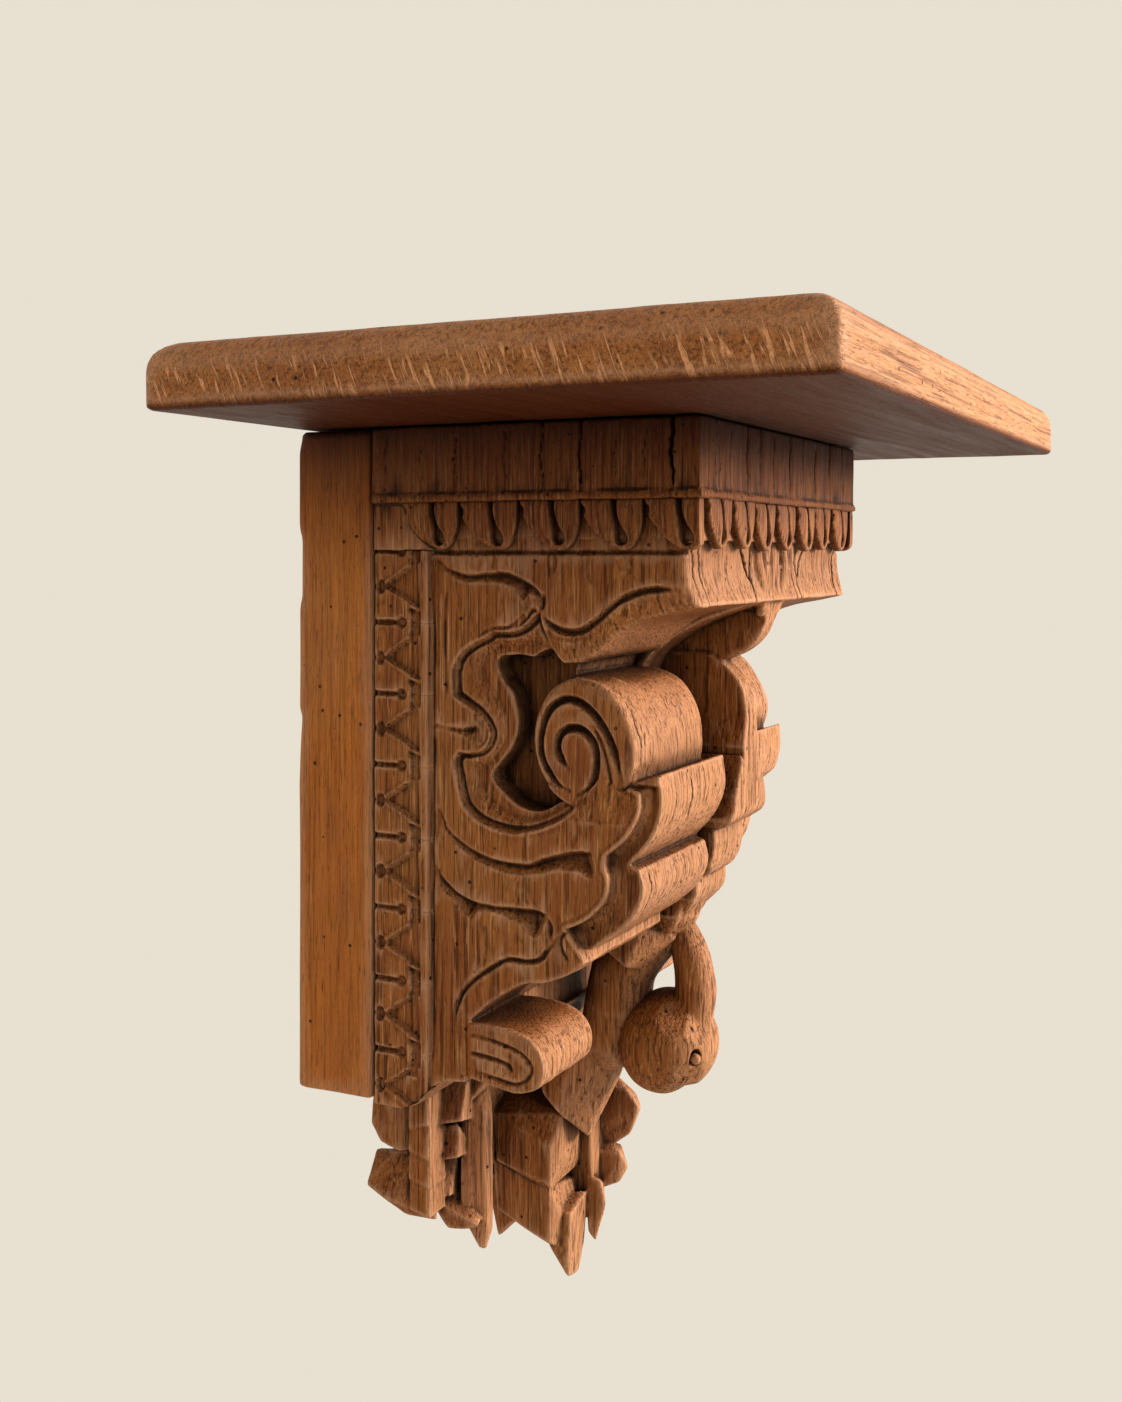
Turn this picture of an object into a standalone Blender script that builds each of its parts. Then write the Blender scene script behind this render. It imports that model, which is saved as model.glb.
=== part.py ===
"""A carved wooden wall bracket: a shelf board on a scrolled corbel, with a plain board at the wall.

The wall is the plane y = 0 and the bracket reaches out along -Y. The origin is the middle of the
back board's back. The carving is drawn on a sheet in millimetres: across from the middle, out from
the wall, and drop below the shelf board. The sheet is stretched to the real sizes below.
"""

import math

import bmesh
import bpy
from mathutils import Matrix, Vector

SHELF_WIDTH = 0.400
SHELF_DEPTH = 0.260
SHELF_THICK = 0.026
SHELF_TOP_ROUND = 0.011
SHELF_FOOT_ROUND = 0.0025
SHELF_CORNER_ROUND = 0.004

BOARD_WIDTH = 0.210
BOARD_HEIGHT = 0.275
BOARD_THICK = 0.037
BOARD_ARRIS = 0.0012

CORBEL_WIDTH = BOARD_WIDTH
CORBEL_REACH = 0.180
PENDANT_LENGTH = 0.107

FIT_GAP = 0.0003

# The carving sheet, in millimetres
SHEET_HALF = 105.0
SHEET_BACK = 37.0
SHEET_FRONT = 180.0
SHEET_FOOT = 275.0
SHEET_TIP = 382.0

# Levels below the shelf board
BAND_FOOT = 28.0
BEAD_FOOT = 30.5
BODY_TOP = 44.0
FRINGE_GROUND_FOOT = 46.5
FRINGE_FOOT = 50.5

# Faces on the side, counted from the middle, and how deep the carving is cut from them
FIELD_FACE = 102.0
SLAB_FACE = 96.5
BEAD_RISE = 1.0
RELIEF = 3.0
RIBBON_RELIEF = 4.2
VOLUTE_SET_BACK = 2.5
VOLUTE_RELIEF = 5.5
POCKET_FLOOR = 84.0
BARREL_END = 25.5
ROLL_END = 57.0
ROLL_SET_BACK = 0.3
CUTTER_REACH = 4.0

# The fringe's lappets stand on a sunk ground, each a little behind the bead
FRINGE_SINK = 3.5
LAPPET_SET_BACK = 0.4
CORNER_SET_BACK = 0.7
LAPPET_GAP = 1.4
SIDE_LEAF_PITCH = 26.0
SIDE_LEAF_FIRST = 69.5
SIDE_LEAF_COUNT = 4
CORNER_LEAF_OUT = 162.0
CORNER_LEAF_ACROSS = 84.0
FRONT_LEAF_COUNT = 14
FRONT_LEAF_SPAN = 172.0

# The leaf border along the board, with a V-shaped notch at each leaf
BORDER_LEFT, BORDER_RIGHT = 37.0, 63.5
BORDER_FOOT = 270.0
BORDER_SET_BACK = 0.9
BORDER_COUNT = 8
BORDER_FIRST = 65.0
BORDER_PITCH = 29.0
NOTCH_DEPTH = 1.7
NOTCH_INSET = 4.0
NOTCH_HALF = 7.0

# The right-hand half is carved shallower than the left: its share of the left's reach below the lip
RIGHT_SHARE = 0.80
RIGHT_FROM = 63.0
RIGHT_LEVELS = (74.0, 98.0)
RIGHT_LIP_BACK = 3.0
RIGHT_LIP_FROM = 165.0

SHELF_FOOT_Z = BOARD_HEIGHT / 2
BOARD_FOOT_Z = -BOARD_HEIGHT / 2
PENDANT_TIP_Z = BOARD_FOOT_Z - PENDANT_LENGTH
OVERLAP = 1.5

CORNER = "corner"
BODY_STEPS = 3
CUT_STEPS = 2
TOP_ROUND_STEPS = 6
FOOT_ROUND_STEPS = 2
CORNER_STEPS = 3

SIDE_TURN = Matrix(((0, 0, -1, 0), (-1, 0, 0, 0), (0, 1, 0, 0), (0, 0, 0, 1)))
FRONT_TURN = Matrix(((1, 0, 0, 0), (0, 0, -1, 0), (0, 1, 0, 0), (0, 0, 0, 1)))


def across_to_x(across):
    return across / SHEET_HALF * CORBEL_WIDTH / 2


def out_to_y(out):
    """The corbel stands on the back board's front, and its band reaches CORBEL_REACH."""
    back = BOARD_THICK + FIT_GAP
    if out < SHEET_BACK:
        return -back * out / SHEET_BACK
    return -back - (CORBEL_REACH - back) * (out - SHEET_BACK) / (SHEET_FRONT - SHEET_BACK)


def drop_to_z(drop):
    """The body hangs from the shelf board to the board's foot, and the pendant below it."""
    top = SHELF_FOOT_Z - FIT_GAP
    if drop < SHEET_FOOT:
        return top + (BOARD_FOOT_Z - top) * drop / SHEET_FOOT
    below = BOARD_FOOT_Z - FIT_GAP
    return below + (PENDANT_TIP_Z - below) * (drop - SHEET_FOOT) / (SHEET_TIP - SHEET_FOOT)


def spot(across, out, drop):
    return Vector((across_to_x(across), out_to_y(out), drop_to_z(drop)))


def clear_scene():
    for item in list(bpy.data.objects):
        bpy.data.objects.remove(item, do_unlink=True)


def new_collection(name):
    collection = bpy.data.collections.new(name)
    bpy.context.scene.collection.children.link(collection)
    return collection


def wood(name, colour, roughness):
    material = bpy.data.materials.new(name)
    material.use_nodes = True
    shader = material.node_tree.nodes["Principled BSDF"]
    shader.inputs["Base Color"].default_value = (*colour, 1.0)
    shader.inputs["Roughness"].default_value = roughness
    shader.inputs["Metallic"].default_value = 0.0
    material.diffuse_color = (*colour, 1.0)
    return material


def show_in(collection, name, mesh, matrix=None):
    item = bpy.data.objects.new(name, mesh)
    collection.objects.link(item)
    if matrix is not None:
        item.matrix_world = matrix
    return item


def outline_solid(collection, name, knots, half_thick, matrix, steps):
    """A flat outline with smooth runs between its corners, given a thickness and made a closed mesh."""
    curve = bpy.data.curves.new(name, "CURVE")
    curve.dimensions = "2D"
    curve.fill_mode = "BOTH"
    curve.extrude = half_thick
    curve.resolution_u = steps
    spline = curve.splines.new("BEZIER")
    spline.bezier_points.add(len(knots) - 1)
    for point, knot in zip(spline.bezier_points, knots):
        kind = "VECTOR" if knot[-1] == CORNER else "AUTO"
        point.co = (knot[0], knot[1], 0.0)
        point.handle_left_type = kind
        point.handle_right_type = kind
    spline.use_cyclic_u = True
    drawn = show_in(collection, name + "_outline", curve)
    bpy.context.view_layer.update()
    evaluated = drawn.evaluated_get(bpy.context.evaluated_depsgraph_get())
    mesh = bpy.data.meshes.new_from_object(evaluated)
    bpy.data.objects.remove(drawn, do_unlink=True)
    weld(mesh)
    return show_in(collection, name, mesh, matrix)


def weld(mesh):
    shape = bmesh.new()
    shape.from_mesh(mesh)
    bmesh.ops.remove_doubles(shape, verts=shape.verts, dist=0.00002)
    bmesh.ops.recalc_face_normals(shape, faces=shape.faces)
    shape.to_mesh(mesh)
    shape.free()


def side_slab(collection, name, outline, near, far, steps=CUT_STEPS):
    """An outline of (out, drop) points, run across the bracket from near to far."""
    low, high = sorted((across_to_x(near), across_to_x(far)))
    knots = [(-out_to_y(knot[0]), drop_to_z(knot[1]), knot[-1]) for knot in outline]
    matrix = Matrix.Translation(((low + high) / 2, 0, 0)) @ SIDE_TURN
    return outline_solid(collection, name, knots, (high - low) / 2, matrix, steps)


def front_slab(collection, name, outline, near, far):
    """An outline of (across, drop) points, run out from near to far."""
    back, front = out_to_y(near), out_to_y(far)
    knots = [(across_to_x(knot[0]), drop_to_z(knot[1]), knot[-1]) for knot in outline]
    matrix = Matrix.Translation((0, (back + front) / 2, 0)) @ FRONT_TURN
    return outline_solid(collection, name, knots, (back - front) / 2, matrix, CUT_STEPS)


def side_name(side):
    return "left" if side < 0 else "right"


def for_side(outline, side):
    """The outline as it is on the left, and set back on the right."""
    if side < 0:
        return outline
    start, full = RIGHT_LEVELS
    knots = []
    for knot in outline:
        out, drop = knot[0], knot[1]
        amount = min(max((drop - start) / (full - start), 0.0), 1.0)
        if out > RIGHT_LIP_FROM:
            out -= RIGHT_LIP_BACK
        if out > RIGHT_FROM:
            out -= (out - RIGHT_FROM) * (1.0 - RIGHT_SHARE) * amount
        knots.append((out, drop, knot[-1]))
    return knots


def box(left, right, top, foot):
    return [(left, top, CORNER), (right, top, CORNER), (right, foot, CORNER), (left, foot, CORNER)]


def ball(collection, name, centre, radii, sides=16, rings=10):
    """An egg of three half sizes in sheet millimetres."""
    shape = bmesh.new()
    bmesh.ops.create_uvsphere(shape, u_segments=sides, v_segments=rings, radius=1.0)
    for vert in shape.verts:
        place = [middle + half * part for middle, half, part in zip(centre, radii, vert.co)]
        vert.co = spot(place[0], place[1], centre[2] - (place[2] - centre[2]))
    bmesh.ops.recalc_face_normals(shape, faces=shape.faces)
    mesh = bpy.data.meshes.new(name)
    shape.to_mesh(mesh)
    shape.free()
    return show_in(collection, name, mesh)


def squared(share):
    """Pushes a ring's point outwards, so that the ring is a square with cut corners."""
    return math.copysign(abs(share) ** 0.55, share)


def faceted_leaf(collection, name, top, tip, half_across, half_out, rings, sides=8):
    """A leaf cut with flat facets: rings of points from its shoulder to near its tip, and the tip."""
    shape = bmesh.new()
    loops = []
    for share, swell in rings:
        middle = [start + (end - start) * share for start, end in zip(top, tip)]
        loop = []
        for step in range(sides):
            angle = math.tau * (step + 0.5) / sides
            across = middle[0] + half_across * swell * squared(math.cos(angle))
            out = middle[1] + half_out * swell * squared(math.sin(angle))
            loop.append(shape.verts.new(spot(across, out, middle[2])))
        loops.append(loop)
    point = shape.verts.new(spot(*tip))
    for upper, lower in zip(loops, loops[1:]):
        for step in range(sides):
            after = (step + 1) % sides
            shape.faces.new((upper[step], upper[after], lower[after], lower[step]))
    for step in range(sides):
        shape.faces.new((loops[-1][step], loops[-1][(step + 1) % sides], point))
    shape.faces.new(loops[0][::-1])
    bmesh.ops.recalc_face_normals(shape, faces=shape.faces)
    mesh = bpy.data.meshes.new(name)
    shape.to_mesh(mesh)
    shape.free()
    return show_in(collection, name, mesh)


def stem(collection, name, route, radii):
    """A round stem along a smooth route of sheet points, closed at both ends."""
    curve = bpy.data.curves.new(name, "CURVE")
    curve.dimensions = "3D"
    curve.bevel_depth = 1.0
    curve.bevel_resolution = 2
    curve.use_fill_caps = True
    curve.resolution_u = 4
    spline = curve.splines.new("BEZIER")
    spline.bezier_points.add(len(route) - 1)
    for point, place, radius in zip(spline.bezier_points, route, radii):
        point.co = spot(*place)
        point.handle_left_type = "AUTO"
        point.handle_right_type = "AUTO"
        point.radius = across_to_x(radius)
    drawn = show_in(collection, name + "_route", curve)
    bpy.context.view_layer.update()
    evaluated = drawn.evaluated_get(bpy.context.evaluated_depsgraph_get())
    mesh = bpy.data.meshes.new_from_object(evaluated)
    bpy.data.objects.remove(drawn, do_unlink=True)
    weld(mesh)
    return show_in(collection, name, mesh)


def groove_outline(route, widths):
    """The outline of a tapered cut: a centre line with its width at each point, pointed at the ends."""
    left, right = [], []
    for index, (out, drop) in enumerate(route):
        before = route[max(index - 1, 0)]
        after = route[min(index + 1, len(route) - 1)]
        along = Vector((after[0] - before[0], after[1] - before[1])).normalized()
        half = widths[index] / 2
        left.append((out - along.y * half, drop + along.x * half, "smooth"))
        right.append((out + along.y * half, drop - along.x * half, "smooth"))
    return left + right[::-1]


def use_boolean(item, operation, tools):
    modifier = item.modifiers.new(operation.title(), "BOOLEAN")
    modifier.operation = operation
    modifier.operand_type = "COLLECTION"
    modifier.collection = tools
    modifier.solver = "EXACT"
    for tool in tools.objects:
        tool.hide_render = True
        tool.display_type = "WIRE"


# The body's outline where the leaves and rolls run in to the keel
LIP = [(SHEET_BACK, BODY_TOP, CORNER), (174.5, BODY_TOP, CORNER), (174, 60), (177, 71, CORNER), (160, 76.5),
       (146, 85.5), (135, 93, CORNER)]
CORE = [(SHEET_BACK, BODY_TOP, CORNER), (174.5, BODY_TOP, CORNER), (174, 60), (176, 71, CORNER), (150, 80),
        (130, 92), (122, 104), (124, 128), (126, 158), (120, 190), (110, 214), (96, 224), (79.5, 238, CORNER),
        (80, 250), (79, 261.5, CORNER), (66, 264), (58, 273), (50, 276, CORNER), (SHEET_BACK, 276, CORNER)]
GAP_BACK = [(121.5, 93, CORNER), (119.5, 99, CORNER)]
BODY_BARREL = [(128, 100), (140, 104), (148.5, 116), (150.5, 130), (149.5, 138, CORNER)]
BODY_LEAVES = [(160, 135, CORNER), (161, 147), (156, 159), (147, 170, CORNER), (152, 172, CORNER),
               (153, 180), (148, 190), (140, 197), (130, 203, CORNER)]
LOWER_LIP = [(131.5, 208, CORNER), (124, 214), (114, 219), (104, 221.5), (97, 223), (88, 229),
             (79.5, 238, CORNER)]
BODY_FOOT = [(79, 261.5, CORNER), (66, 264), (58, 273), (50, 276, CORNER), (SHEET_BACK, 276, CORNER)]

# The field's own outline on the side face, inside the leaves that run across
FIELD_LEAVES = [(149, 139, CORNER), (155, 141, CORNER), (155.5, 150), (152, 160), (143, 169.5, CORNER),
                (143.5, 173, CORNER), (144.5, 181), (141, 189), (135, 195.5), (128, 200, CORNER),
                (130, 206, CORNER)]
VOLUTE = [(108.5, 124), (111, 112), (118, 103), (128, 99.5), (141, 104), (149.5, 117), (152, 130),
          (149, 139, CORNER), (138, 146), (127, 148), (117, 143), (110.5, 134)]

ROLL = [(76, 238, CORNER), (95, 239.5), (106, 241.5), (112, 248), (112.5, 255), (107, 261),
        (96, 262.5, CORNER), (76, 262, CORNER)]

RIBBON = [(111, 75, CORNER), (105, 81), (95, 84), (88, 87), (82, 92), (78, 100), (77, 107), (81, 111),
          (88, 113), (92, 118), (91, 125), (86, 130), (81, 131), (79, 135), (80, 142), (84, 150), (92, 157),
          (102, 160), (112, 161), (122, 158), (127.5, 153, CORNER), (126, 130, CORNER),
          (124, 98, CORNER), (121, 93, CORNER)]
POCKET = [(95, 93), (104, 89.5), (112, 87), (119, 91), (125, 97, CORNER), (128, 120, CORNER),
          (124, 141, CORNER), (121, 145.7), (109, 152), (100.4, 150.5), (93, 144.4), (89.5, 138.5),
          (94, 135.5), (100.4, 126.5), (102.3, 117.6), (98.6, 107), (94, 99)]

# Tapered cuts in the field: a centre line of (out, drop) points and the width at each
FIELD_CUTS = {
    "wave_cut": (((67, 53), (77, 59), (90, 61.5), (101, 61), (109, 64), (114, 72)),
                 (0.6, 3, 3.6, 4, 4.4, 1.6)),
    "dart_cut": (((67, 119), (76, 120.5), (84, 121.5), (87, 121)), (0.6, 2.2, 4.6, 1)),
    "upper_crescent": (((69, 153), (75, 163), (88, 169), (103, 170.5), (118, 167), (134, 165.5), (139, 171)),
                       (0.6, 4, 4.8, 4.6, 4.2, 4, 1)),
    "lower_crescent": (((67, 179), (74, 185), (88, 190), (103, 191), (114, 191), (119, 198)),
                       (0.6, 3.4, 4.6, 4.6, 4, 1)),
    "ribbon_end": (((116, 80), (123, 83), (131, 83.5), (138, 80), (145, 73.5), (154, 68), (170, 64.5)),
                   (1, 2.6, 3, 3, 3, 2.8, 1)),
    "lower_ribbon": (((127, 201), (118, 206.5), (108, 210), (98, 212), (88, 218), (80, 230), (78, 238)),
                     (1, 3, 3, 3, 3, 2.6, 1)),
}

# The volute's two turns, drawn the same way
VOLUTE_CUTS = {
    "outer_turn": (((146.5, 140), (144.5, 127), (140, 115.5), (134, 109), (126, 107), (117, 110),
                    (112.5, 119), (112.3, 129), (115.5, 138), (122, 144)),
                   (3.4, 3.2, 3, 2.6, 2, 2, 2.6, 3, 2.8, 1.6)),
    "inner_turn": (((129.5, 145), (135.5, 139.5), (137.6, 131), (136, 123), (130, 118.2), (124, 119.5),
                    (121.3, 125), (122.5, 130), (125.8, 133.5)), (4.4, 4, 3.2, 2.8, 2.6, 3, 3.4, 2.8, 0.8)),
}
ROLL_CUTS = {
    "roll_outer": (((78, 243.5), (94, 246), (105, 249.5), (107, 254), (100, 257.5), (88, 256), (80, 254.5)),
                   (1.4, 1.6, 1.8, 2, 1.8, 1.6, 0.8)),
    "roll_inner": (((80, 249.5), (92, 251), (99, 252.5)), (1, 1.4, 0.8)),
}

# The keel in the middle: nose, tongue and two scales, each with its half width
KEEL_PLATES = {
    "nose": (((110, 56, CORNER), (172.5, 56, CORNER), (172, 78), (168.5, 89), (160, 95), (150, 97.5, CORNER),
              (110, 97.5, CORNER)), 16.0),
    "tongue": (((148, 95, CORNER), (156.7, 107), (160.4, 118), (160.5, 134), (160, 152), (157, 164),
                (151, 168.5, CORNER), (110, 168, CORNER), (110, 95, CORNER)), 16.5),
    "tongue_foot": (((110, 138, CORNER), (156, 138), (156.6, 152), (153, 162), (146, 166, CORNER),
                     (110, 166, CORNER)), 21.0),
    "upper_scale": (((110, 160, CORNER), (146, 160), (149.5, 172), (149, 184), (144, 193),
                     (137, 198, CORNER), (110, 194, CORNER)), 20.0),
    "lower_scale": (((100, 188, CORNER), (136, 188), (138.5, 200), (135, 211), (127, 218, CORNER),
                     (100, 214, CORNER)), 18.0),
}

def rounded_leaf(middle, pitch):
    """A hanging lappet of the fringe: straight shoulders and a round foot."""
    half = (pitch - LAPPET_GAP) / 2
    top = BEAD_FOOT - LAPPET_SET_BACK
    waist = top + (FRINGE_FOOT - top) * 0.45
    shoulder = top + (FRINGE_FOOT - top) * 0.9
    return [(middle - half, top, CORNER), (middle + half, top, CORNER), (middle + half * 0.96, waist),
            (middle + half * 0.6, shoulder), (middle, FRINGE_FOOT), (middle - half * 0.6, shoulder),
            (middle - half * 0.96, waist)]


def make_body(collection):
    """The middle of the block, which the two halves, the keel and the pendant are joined to."""
    reach = BARREL_END + OVERLAP
    return side_slab(collection, "carved_corbel", CORE, -reach, reach, BODY_STEPS)


def add_half(added, side):
    """One half's block, where the barrel and leaves run in from the side, and its foot roll."""
    label = side_name(side)
    body = LIP + GAP_BACK + BODY_BARREL + BODY_LEAVES + LOWER_LIP + BODY_FOOT
    side_slab(added, f"half_{label}", for_side(body, side), side * BARREL_END, side * SLAB_FACE, BODY_STEPS)
    roll_face = side * (FIELD_FACE - ROLL_SET_BACK)
    side_slab(added, f"roll_{label}", for_side(ROLL, side), side * ROLL_END, roll_face, BODY_STEPS)


def add_band(added):
    bead_half = SHEET_HALF + BEAD_RISE
    ground_half = FIELD_FACE - CORNER_SET_BACK
    bead = box(SHEET_BACK, SHEET_FRONT + BEAD_RISE, BAND_FOOT - OVERLAP, BEAD_FOOT)
    ground = box(SHEET_BACK, SHEET_FRONT - FRINGE_SINK, BEAD_FOOT - OVERLAP, FRINGE_GROUND_FOOT)
    side_slab(added, "band", box(SHEET_BACK, SHEET_FRONT, 0, BAND_FOOT), -SHEET_HALF, SHEET_HALF)
    side_slab(added, "bead", bead, -bead_half, bead_half)
    side_slab(added, "fringe_ground", ground, -ground_half, ground_half)


def add_lappets(added):
    lappet_root = FRINGE_SINK * 2
    for side in (-1, 1):
        near, far = side * (SHEET_HALF - lappet_root), side * (SHEET_HALF - LAPPET_SET_BACK)
        for step in range(SIDE_LEAF_COUNT):
            leaf = rounded_leaf(SIDE_LEAF_FIRST + SIDE_LEAF_PITCH * step, SIDE_LEAF_PITCH)
            side_slab(added, f"side_lappet_{step}_{side_name(side)}", leaf, near, far)
        corner = box(CORNER_LEAF_OUT, SHEET_FRONT - CORNER_SET_BACK, BEAD_FOOT - CORNER_SET_BACK,
                     FRINGE_FOOT - CORNER_SET_BACK)
        side_slab(added, f"corner_lappet_{side_name(side)}", corner, side * CORNER_LEAF_ACROSS,
                  side * (SHEET_HALF - CORNER_SET_BACK))
    pitch = FRONT_LEAF_SPAN / FRONT_LEAF_COUNT
    for step in range(FRONT_LEAF_COUNT):
        leaf = rounded_leaf(-FRONT_LEAF_SPAN / 2 + pitch * (step + 0.5), pitch)
        front_slab(added, f"front_lappet_{step}", leaf, SHEET_FRONT - lappet_root,
                   SHEET_FRONT - LAPPET_SET_BACK)


def add_field(added, side):
    plate = LIP + GAP_BACK + BODY_BARREL[:4] + FIELD_LEAVES + LOWER_LIP + BODY_FOOT
    label = side_name(side)
    side_slab(added, f"field_{label}", for_side(plate, side), side * (SLAB_FACE - OVERLAP), side * FIELD_FACE,
              BODY_STEPS)
    border = box(SHEET_BACK, BORDER_RIGHT, BODY_TOP + LAPPET_SET_BACK, BORDER_FOOT)
    border_face = side * (SHEET_HALF - BORDER_SET_BACK)
    side_slab(added, f"border_{label}", border, side * (FIELD_FACE - OVERLAP), border_face)


def cut_field(cutters, side):
    label = side_name(side)
    reach = side * (SHEET_HALF + CUTTER_REACH)
    side_slab(cutters, f"pocket_{label}", for_side(POCKET, side), side * POCKET_FLOOR, reach)
    side_slab(cutters, f"ribbon_{label}", for_side(RIBBON, side), side * (FIELD_FACE - RIBBON_RELIEF), reach)
    for name, (route, widths) in {**FIELD_CUTS, **ROLL_CUTS}.items():
        outline = for_side(groove_outline(route, widths), side)
        side_slab(cutters, f"{name}_{label}", outline, side * (FIELD_FACE - RELIEF), reach)
    notch_floor = side * (SHEET_HALF - BORDER_SET_BACK - NOTCH_DEPTH)
    for step in range(BORDER_COUNT):
        middle = BORDER_FIRST + BORDER_PITCH * step
        mouth = BORDER_RIGHT - NOTCH_INSET
        notch = [(BORDER_LEFT + NOTCH_INSET, middle, CORNER), (mouth, middle - NOTCH_HALF, CORNER),
                 (mouth - NOTCH_INSET, middle, CORNER), (mouth, middle + NOTCH_HALF, CORNER)]
        side_slab(cutters, f"border_cut_{step}_{label}", notch, notch_floor, reach)


def add_volute(set_in, side):
    near, far = side * (POCKET_FLOOR - CUTTER_REACH), side * (FIELD_FACE - VOLUTE_SET_BACK)
    side_slab(set_in, f"volute_{side_name(side)}", for_side(VOLUTE, side), near, far, BODY_STEPS)


def cut_volute(cutters, side):
    floor, reach = side * (FIELD_FACE - VOLUTE_RELIEF), side * (SHEET_HALF + CUTTER_REACH)
    for name, (route, widths) in VOLUTE_CUTS.items():
        outline = for_side(groove_outline(route, widths), side)
        side_slab(cutters, f"{name}_{side_name(side)}", outline, floor, reach)


def add_keel(added):
    for name, (outline, half) in KEEL_PLATES.items():
        side_slab(added, name, outline, -half, half)
    stem(added, "trunk", ((0, 124, 208), (0, 113, 222), (0, 103, 238), (0, 100, 260), (0, 92, 290)),
         (14, 14.5, 14.5, 15, 17))
    for side in (-1, 1):
        ball(added, f"knuckle_{side}", (side * 17, 116, 217), (8, 8, 9), 10, 7)


def add_bud(added):
    ball(added, "bud", (0, 126.4, 266), (20.8, 20.8, 22.5), 20, 12)
    ball(added, "bud_cup", (0, 112, 272), (17, 15, 13), 14, 9)
    ball(added, "bud_tip", (-9, 143.5, 271), (3.4, 4, 3.4), 8, 6)
    route = ((0, 124, 212), (0, 131.5, 219.5), (0, 138.5, 232), (0, 140.5, 246), (0, 136, 260))
    stem(added, "bud_stem", route, (6.5, 7, 7.2, 7.4, 7))


# The pendant's leaves are blunt blocks or long blades: where the rings stand and how full they are
BLUNT = ((0.0, 0.8), (0.15, 1.0), (0.66, 0.96), (0.92, 0.5))
BLADE = ((0.0, 0.9), (0.3, 1.0), (0.72, 0.66), (0.94, 0.34))

# Each leaf: top, tip, half across, half out and its rings
MIDDLE_LEAVES = (((0, 80, 258), (0, 90, 309), 20, 26, BLUNT),
                 ((0, 61, 288), (0, 66, 337), 18.5, 15, BLUNT),
                 ((0, 60, 320), (0, 67, 364.5), 16.5, 14.5, BLUNT),
                 ((0, 70, 332), (0, 75, 382), 10, 11, BLADE))
SIDE_LEAVES = (((61, 28, 262), (62, 28, 317), 14, 14.5, BLUNT),
               ((58, 28, 302), (59, 30, 339), 15.5, 15, BLUNT),
               ((56, 41, 262), (57, 42, 335), 12, 9, BLUNT),
               ((51, 48, 262), (54, 47, 344), 11, 9.5, BLUNT),
               ((42, 55, 254), (49, 62, 353), 12, 12.5, BLADE),
               ((24, 87, 290), (25, 93, 327), 9.5, 10, BLUNT),
               ((21, 80, 316), (22, 85.5, 347), 9.5, 10, BLUNT),
               ((13, 78, 330), (13.5, 83, 370), 7, 6.5, BLADE))
PENDANT_CORE = [(SHEET_BACK + 3, 252, CORNER), (84, 252, CORNER), (62, 280), (48, 298), (46, 330, CORNER),
                (30, 328, CORNER), (17, 316, CORNER), (17, 277, CORNER), (SHEET_BACK + 3, 277, CORNER)]


def add_pendant(added):
    side_slab(added, "pendant_core", PENDANT_CORE, -54, 54)
    for step, leaf in enumerate(MIDDLE_LEAVES):
        faceted_leaf(added, f"middle_leaf_{step}", *leaf)
    for side in (-1, 1):
        for step, (top, tip, half_across, half_out, rings) in enumerate(SIDE_LEAVES):
            start = (side * top[0], top[1], top[2])
            end = (side * tip[0], tip[1], tip[2])
            faceted_leaf(added, f"side_leaf_{step}_{side}", start, end, half_across, half_out, rings)


def clear_board_room(cutters):
    """The leaves of the pendant stop clear of the back board, in front of it and below it."""
    room = box(-CUTTER_REACH, SHEET_BACK, -CUTTER_REACH, SHEET_FOOT)
    side_slab(cutters, "board_room", room, -SHEET_HALF - CUTTER_REACH, SHEET_HALF + CUTTER_REACH)


def make_corbel(collection, material):
    added = new_collection("corbel_added")
    cutters = new_collection("corbel_cutters")
    set_in = new_collection("corbel_set_in")
    turns = new_collection("corbel_turn_cutters")
    corbel = make_body(collection)
    add_band(added)
    add_lappets(added)
    add_keel(added)
    add_bud(added)
    add_pendant(added)
    clear_board_room(cutters)
    for side in (-1, 1):
        add_half(added, side)
        add_field(added, side)
        cut_field(cutters, side)
        add_volute(set_in, side)
        cut_volute(turns, side)
    use_boolean(corbel, "UNION", added)
    use_boolean(corbel, "DIFFERENCE", cutters)
    use_boolean(corbel, "UNION", set_in)
    use_boolean(corbel, "DIFFERENCE", turns)
    corbel.data.materials.append(material)
    return corbel


def rounded_board(collection, name, size, middle, rounds, material):
    """A board whose top edges, bottom edges and upright corners have their own rounds."""
    top, foot, corner = rounds
    shape = bmesh.new()
    bmesh.ops.create_cube(shape, size=1.0)
    bmesh.ops.scale(shape, vec=size, verts=shape.verts)
    for level, radius, steps in ((size[2] / 2, top, TOP_ROUND_STEPS), (-size[2] / 2, foot, FOOT_ROUND_STEPS)):
        rim = [edge for edge in shape.edges if all(abs(vert.co.z - level) < FIT_GAP for vert in edge.verts)]
        bmesh.ops.bevel(shape, geom=rim, offset=radius, segments=steps, profile=0.5, affect="EDGES")
    bmesh.ops.translate(shape, vec=middle, verts=shape.verts)
    mesh = bpy.data.meshes.new(name)
    shape.to_mesh(mesh)
    shape.free()
    mesh.materials.append(material)
    board = show_in(collection, name, mesh)
    bevel = board.modifiers.new("Upright corners", "BEVEL")
    bevel.width = corner
    bevel.segments = CORNER_STEPS
    bevel.limit_method = "ANGLE"
    bevel.angle_limit = math.radians(50)
    return board


def make_shelf(collection, material):
    size = (SHELF_WIDTH, SHELF_DEPTH, SHELF_THICK)
    middle = (0, -SHELF_DEPTH / 2, SHELF_FOOT_Z + SHELF_THICK / 2)
    return rounded_board(collection, "shelf_board", size, middle,
                         (SHELF_TOP_ROUND, SHELF_FOOT_ROUND, SHELF_CORNER_ROUND), material)


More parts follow.
